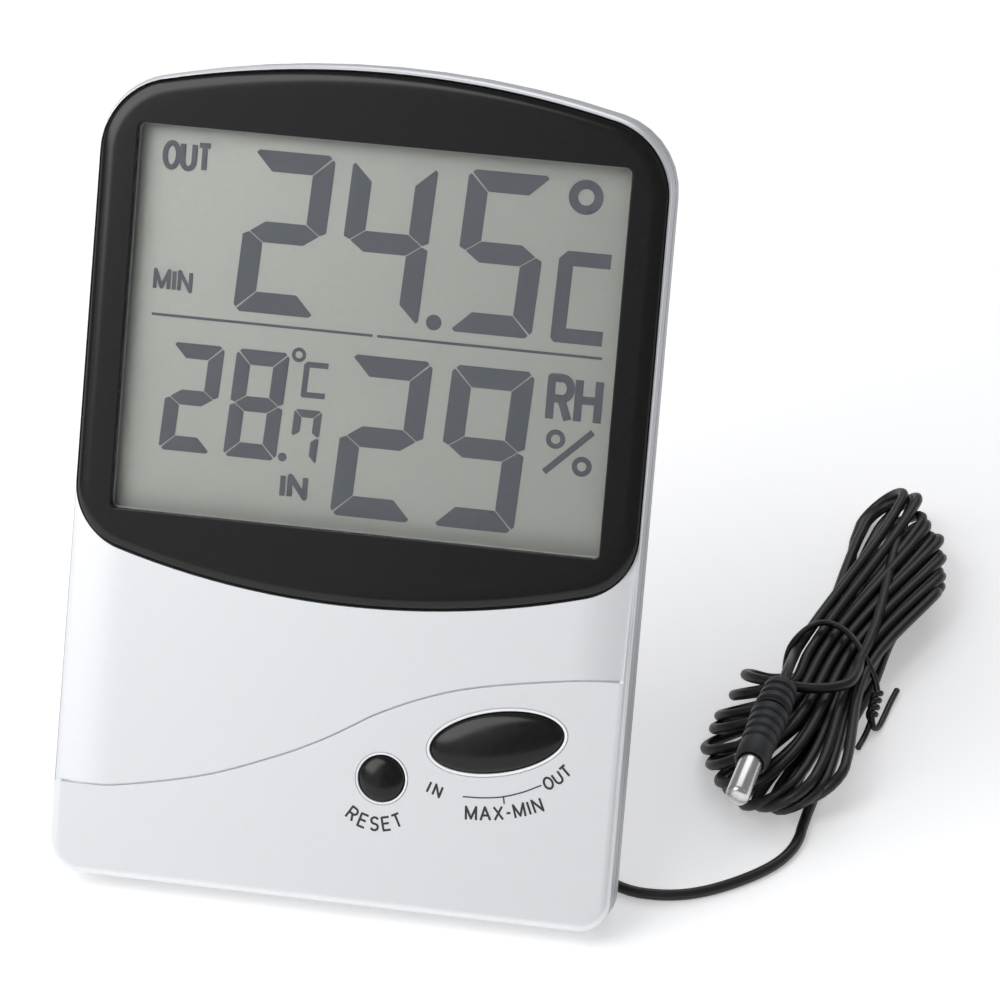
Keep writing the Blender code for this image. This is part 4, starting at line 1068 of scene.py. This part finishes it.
def make_tie():
    """A wire tie over the hank's waist, its two ends twisted together on the right."""
    over = ((0.0772, 0.05, 0.0008), (0.0759, 0.0512, 0.004), (0.0764, 0.0532, 0.0088),
            (0.079, 0.0578, 0.0106), (0.0822, 0.0604, 0.011), (0.086, 0.059, 0.0112),
            (0.0895, 0.055, 0.0112), (0.0925, 0.0505, 0.0098), (0.0948, 0.0474, 0.0072),
            (0.0956, 0.0455, 0.0054))
    loop = make_tube("tie_loop", smooth_route(over, 5), TIE_RADIUS, TIE, 3)
    start = Vector(over[-1])
    twist_end = Vector((0.0951, 0.0402, 0.003))
    tails = (((0.0946, 0.0372, 0.0014), (0.094, 0.0348, 0.0008), (0.0935, 0.0324, 0.0008)),
             ((0.0957, 0.0388, 0.0018), (0.0966, 0.04, 0.0009), (0.0973, 0.044, 0.0008),
              (0.098, 0.049, 0.001), (0.0988, 0.0532, 0.0012)))
    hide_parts("twist_tie")
    for index, tail in enumerate(tails):
        points = []
        for step in range(33):
            t = step / 32
            angle = pi * index + 3.5 * pi * t
            offset = Vector((cos(angle), 0.0, sin(angle))) * TIE_RADIUS * 1.05
            points.append(start.lerp(twist_end, t) + offset)
        points += smooth_route([points[-1], *tail], 6)[1:]
        make_tube(f"tie_end_{index + 1}", points, TIE_RADIUS, TIE, 3)


# ---- carried-over CAD pieces
def finish_cad_pieces():
    softened("rear_case", 0.00035, SHADED_SILVER_BACK)
    softened("battery_door", 0.0003, SHADED_SILVER_BACK, "door")
    softened("kickstand", 0.00045, SHADED_SILVER_BACK, "stand")
    softened("unit_switch_knob", 0.0002, MOULDED_BLACK, "unit_knob")
    softened("cable_grommet", 0.0002, SLEEVE)
    for index in range(1, 5):
        softened(f"case_screw_{index}", 0.0001, PLATED)
    for material, nodes in (
        (MOULDED_WHITE, ("lcd_frame", "humidity_sensor")),
        (MOULDED_BLACK, ("zebra_strip_bottom", "zebra_strip_top", "tact_switch_reset",
                         "tact_switch_in", "tact_switch_out", "controller_chip",
                         "room_thermistor")),
        (PLATED, ("clock_crystal", "unit_switch_body", "contact_spring_left",
                  "contact_spring_right", "contact_bridge", "contact_plate_left",
                  "contact_plate_right", *(f"board_screw_{index}" for index in range(1, 5)))),
        (BOARD, ("circuit_board",)),
        (JACKET, ("battery_left", "battery_right")),
        (RED, ("battery_wire_red",)),
        (CABLE, ("battery_wire_black", "lead_inside")),
    ):
        for node in nodes:
            mesh = frame["nodes"][node].data
            mesh.materials.clear()
            mesh.materials.append(material)


# ---- stage
def make_stage():
    scene = bpy.context.scene
    camera_data = bpy.data.cameras.new("camera")
    camera_data.lens = LENS
    camera_data.sensor_width = SENSOR_WIDTH
    camera_data.clip_start = 0.01
    camera = add_to_scene("camera", camera_data)
    flat = cos(VIEW_ELEVATION)
    outward = Vector((sin(VIEW_AZIMUTH) * flat, -cos(VIEW_AZIMUTH) * flat, sin(VIEW_ELEVATION)))
    camera.location = VIEW_TARGET + outward * VIEW_DISTANCE
    camera.rotation_euler = (-outward).to_track_quat("-Z", "Y").to_euler()
    scene.camera = camera

    bm = bmesh.new()
    bmesh.ops.create_grid(bm, x_segments=1, y_segments=1, size=FLOOR_HALF)
    mesh = bpy.data.meshes.new("floor")
    bm.to_mesh(mesh)
    bm.free()
    floor = add_to_scene("floor", mesh)
    paper = new_material("floor_paper", (0.88, 0.88, 0.88), 0.7)
    shader_of(paper).inputs["Emission Color"].default_value = (1.0, 1.0, 1.0, 1.0)
    shader_of(paper).inputs["Emission Strength"].default_value = FLOOR_GLOW
    mesh.materials.append(paper)

    world = bpy.data.worlds.new("studio")
    world.use_nodes = True
    background = world.node_tree.nodes["Background"]
    background.inputs["Color"].default_value = (0.93, 0.95, 1.0, 1.0)
    background.inputs["Strength"].default_value = WORLD_GLOW
    scene.world = world
    aim = Vector((0.0, 0.0, 0.06))
    for name, place, size, power in (
        ("key", (-0.55, -0.45, 0.78), 0.9, 8.8),
        ("front", (-0.95, -1.5, 0.6), 1.5, 3.2),
        ("fill", (0.95, -0.15, 0.75), 0.6, 0.22),
        ("back", (0.1, 0.95, 1.0), 0.9, 3.5),
    ):
        data = bpy.data.lights.new(name, "AREA")
        data.size = size
        data.energy = power
        light = add_to_scene(name, data)
        light.location = place
        light.rotation_euler = (aim - Vector(place)).to_track_quat("-Z", "Y").to_euler()
    scene.view_settings.view_transform = "Standard"


make_stage()
sleeve, tube, sleeve_rear = make_probe()
make_lead(sleeve, tube, sleeve_rear)
make_tie()
make_front()
make_bezel()
make_display()
make_lettering()
make_buttons()
finish_cad_pieces()
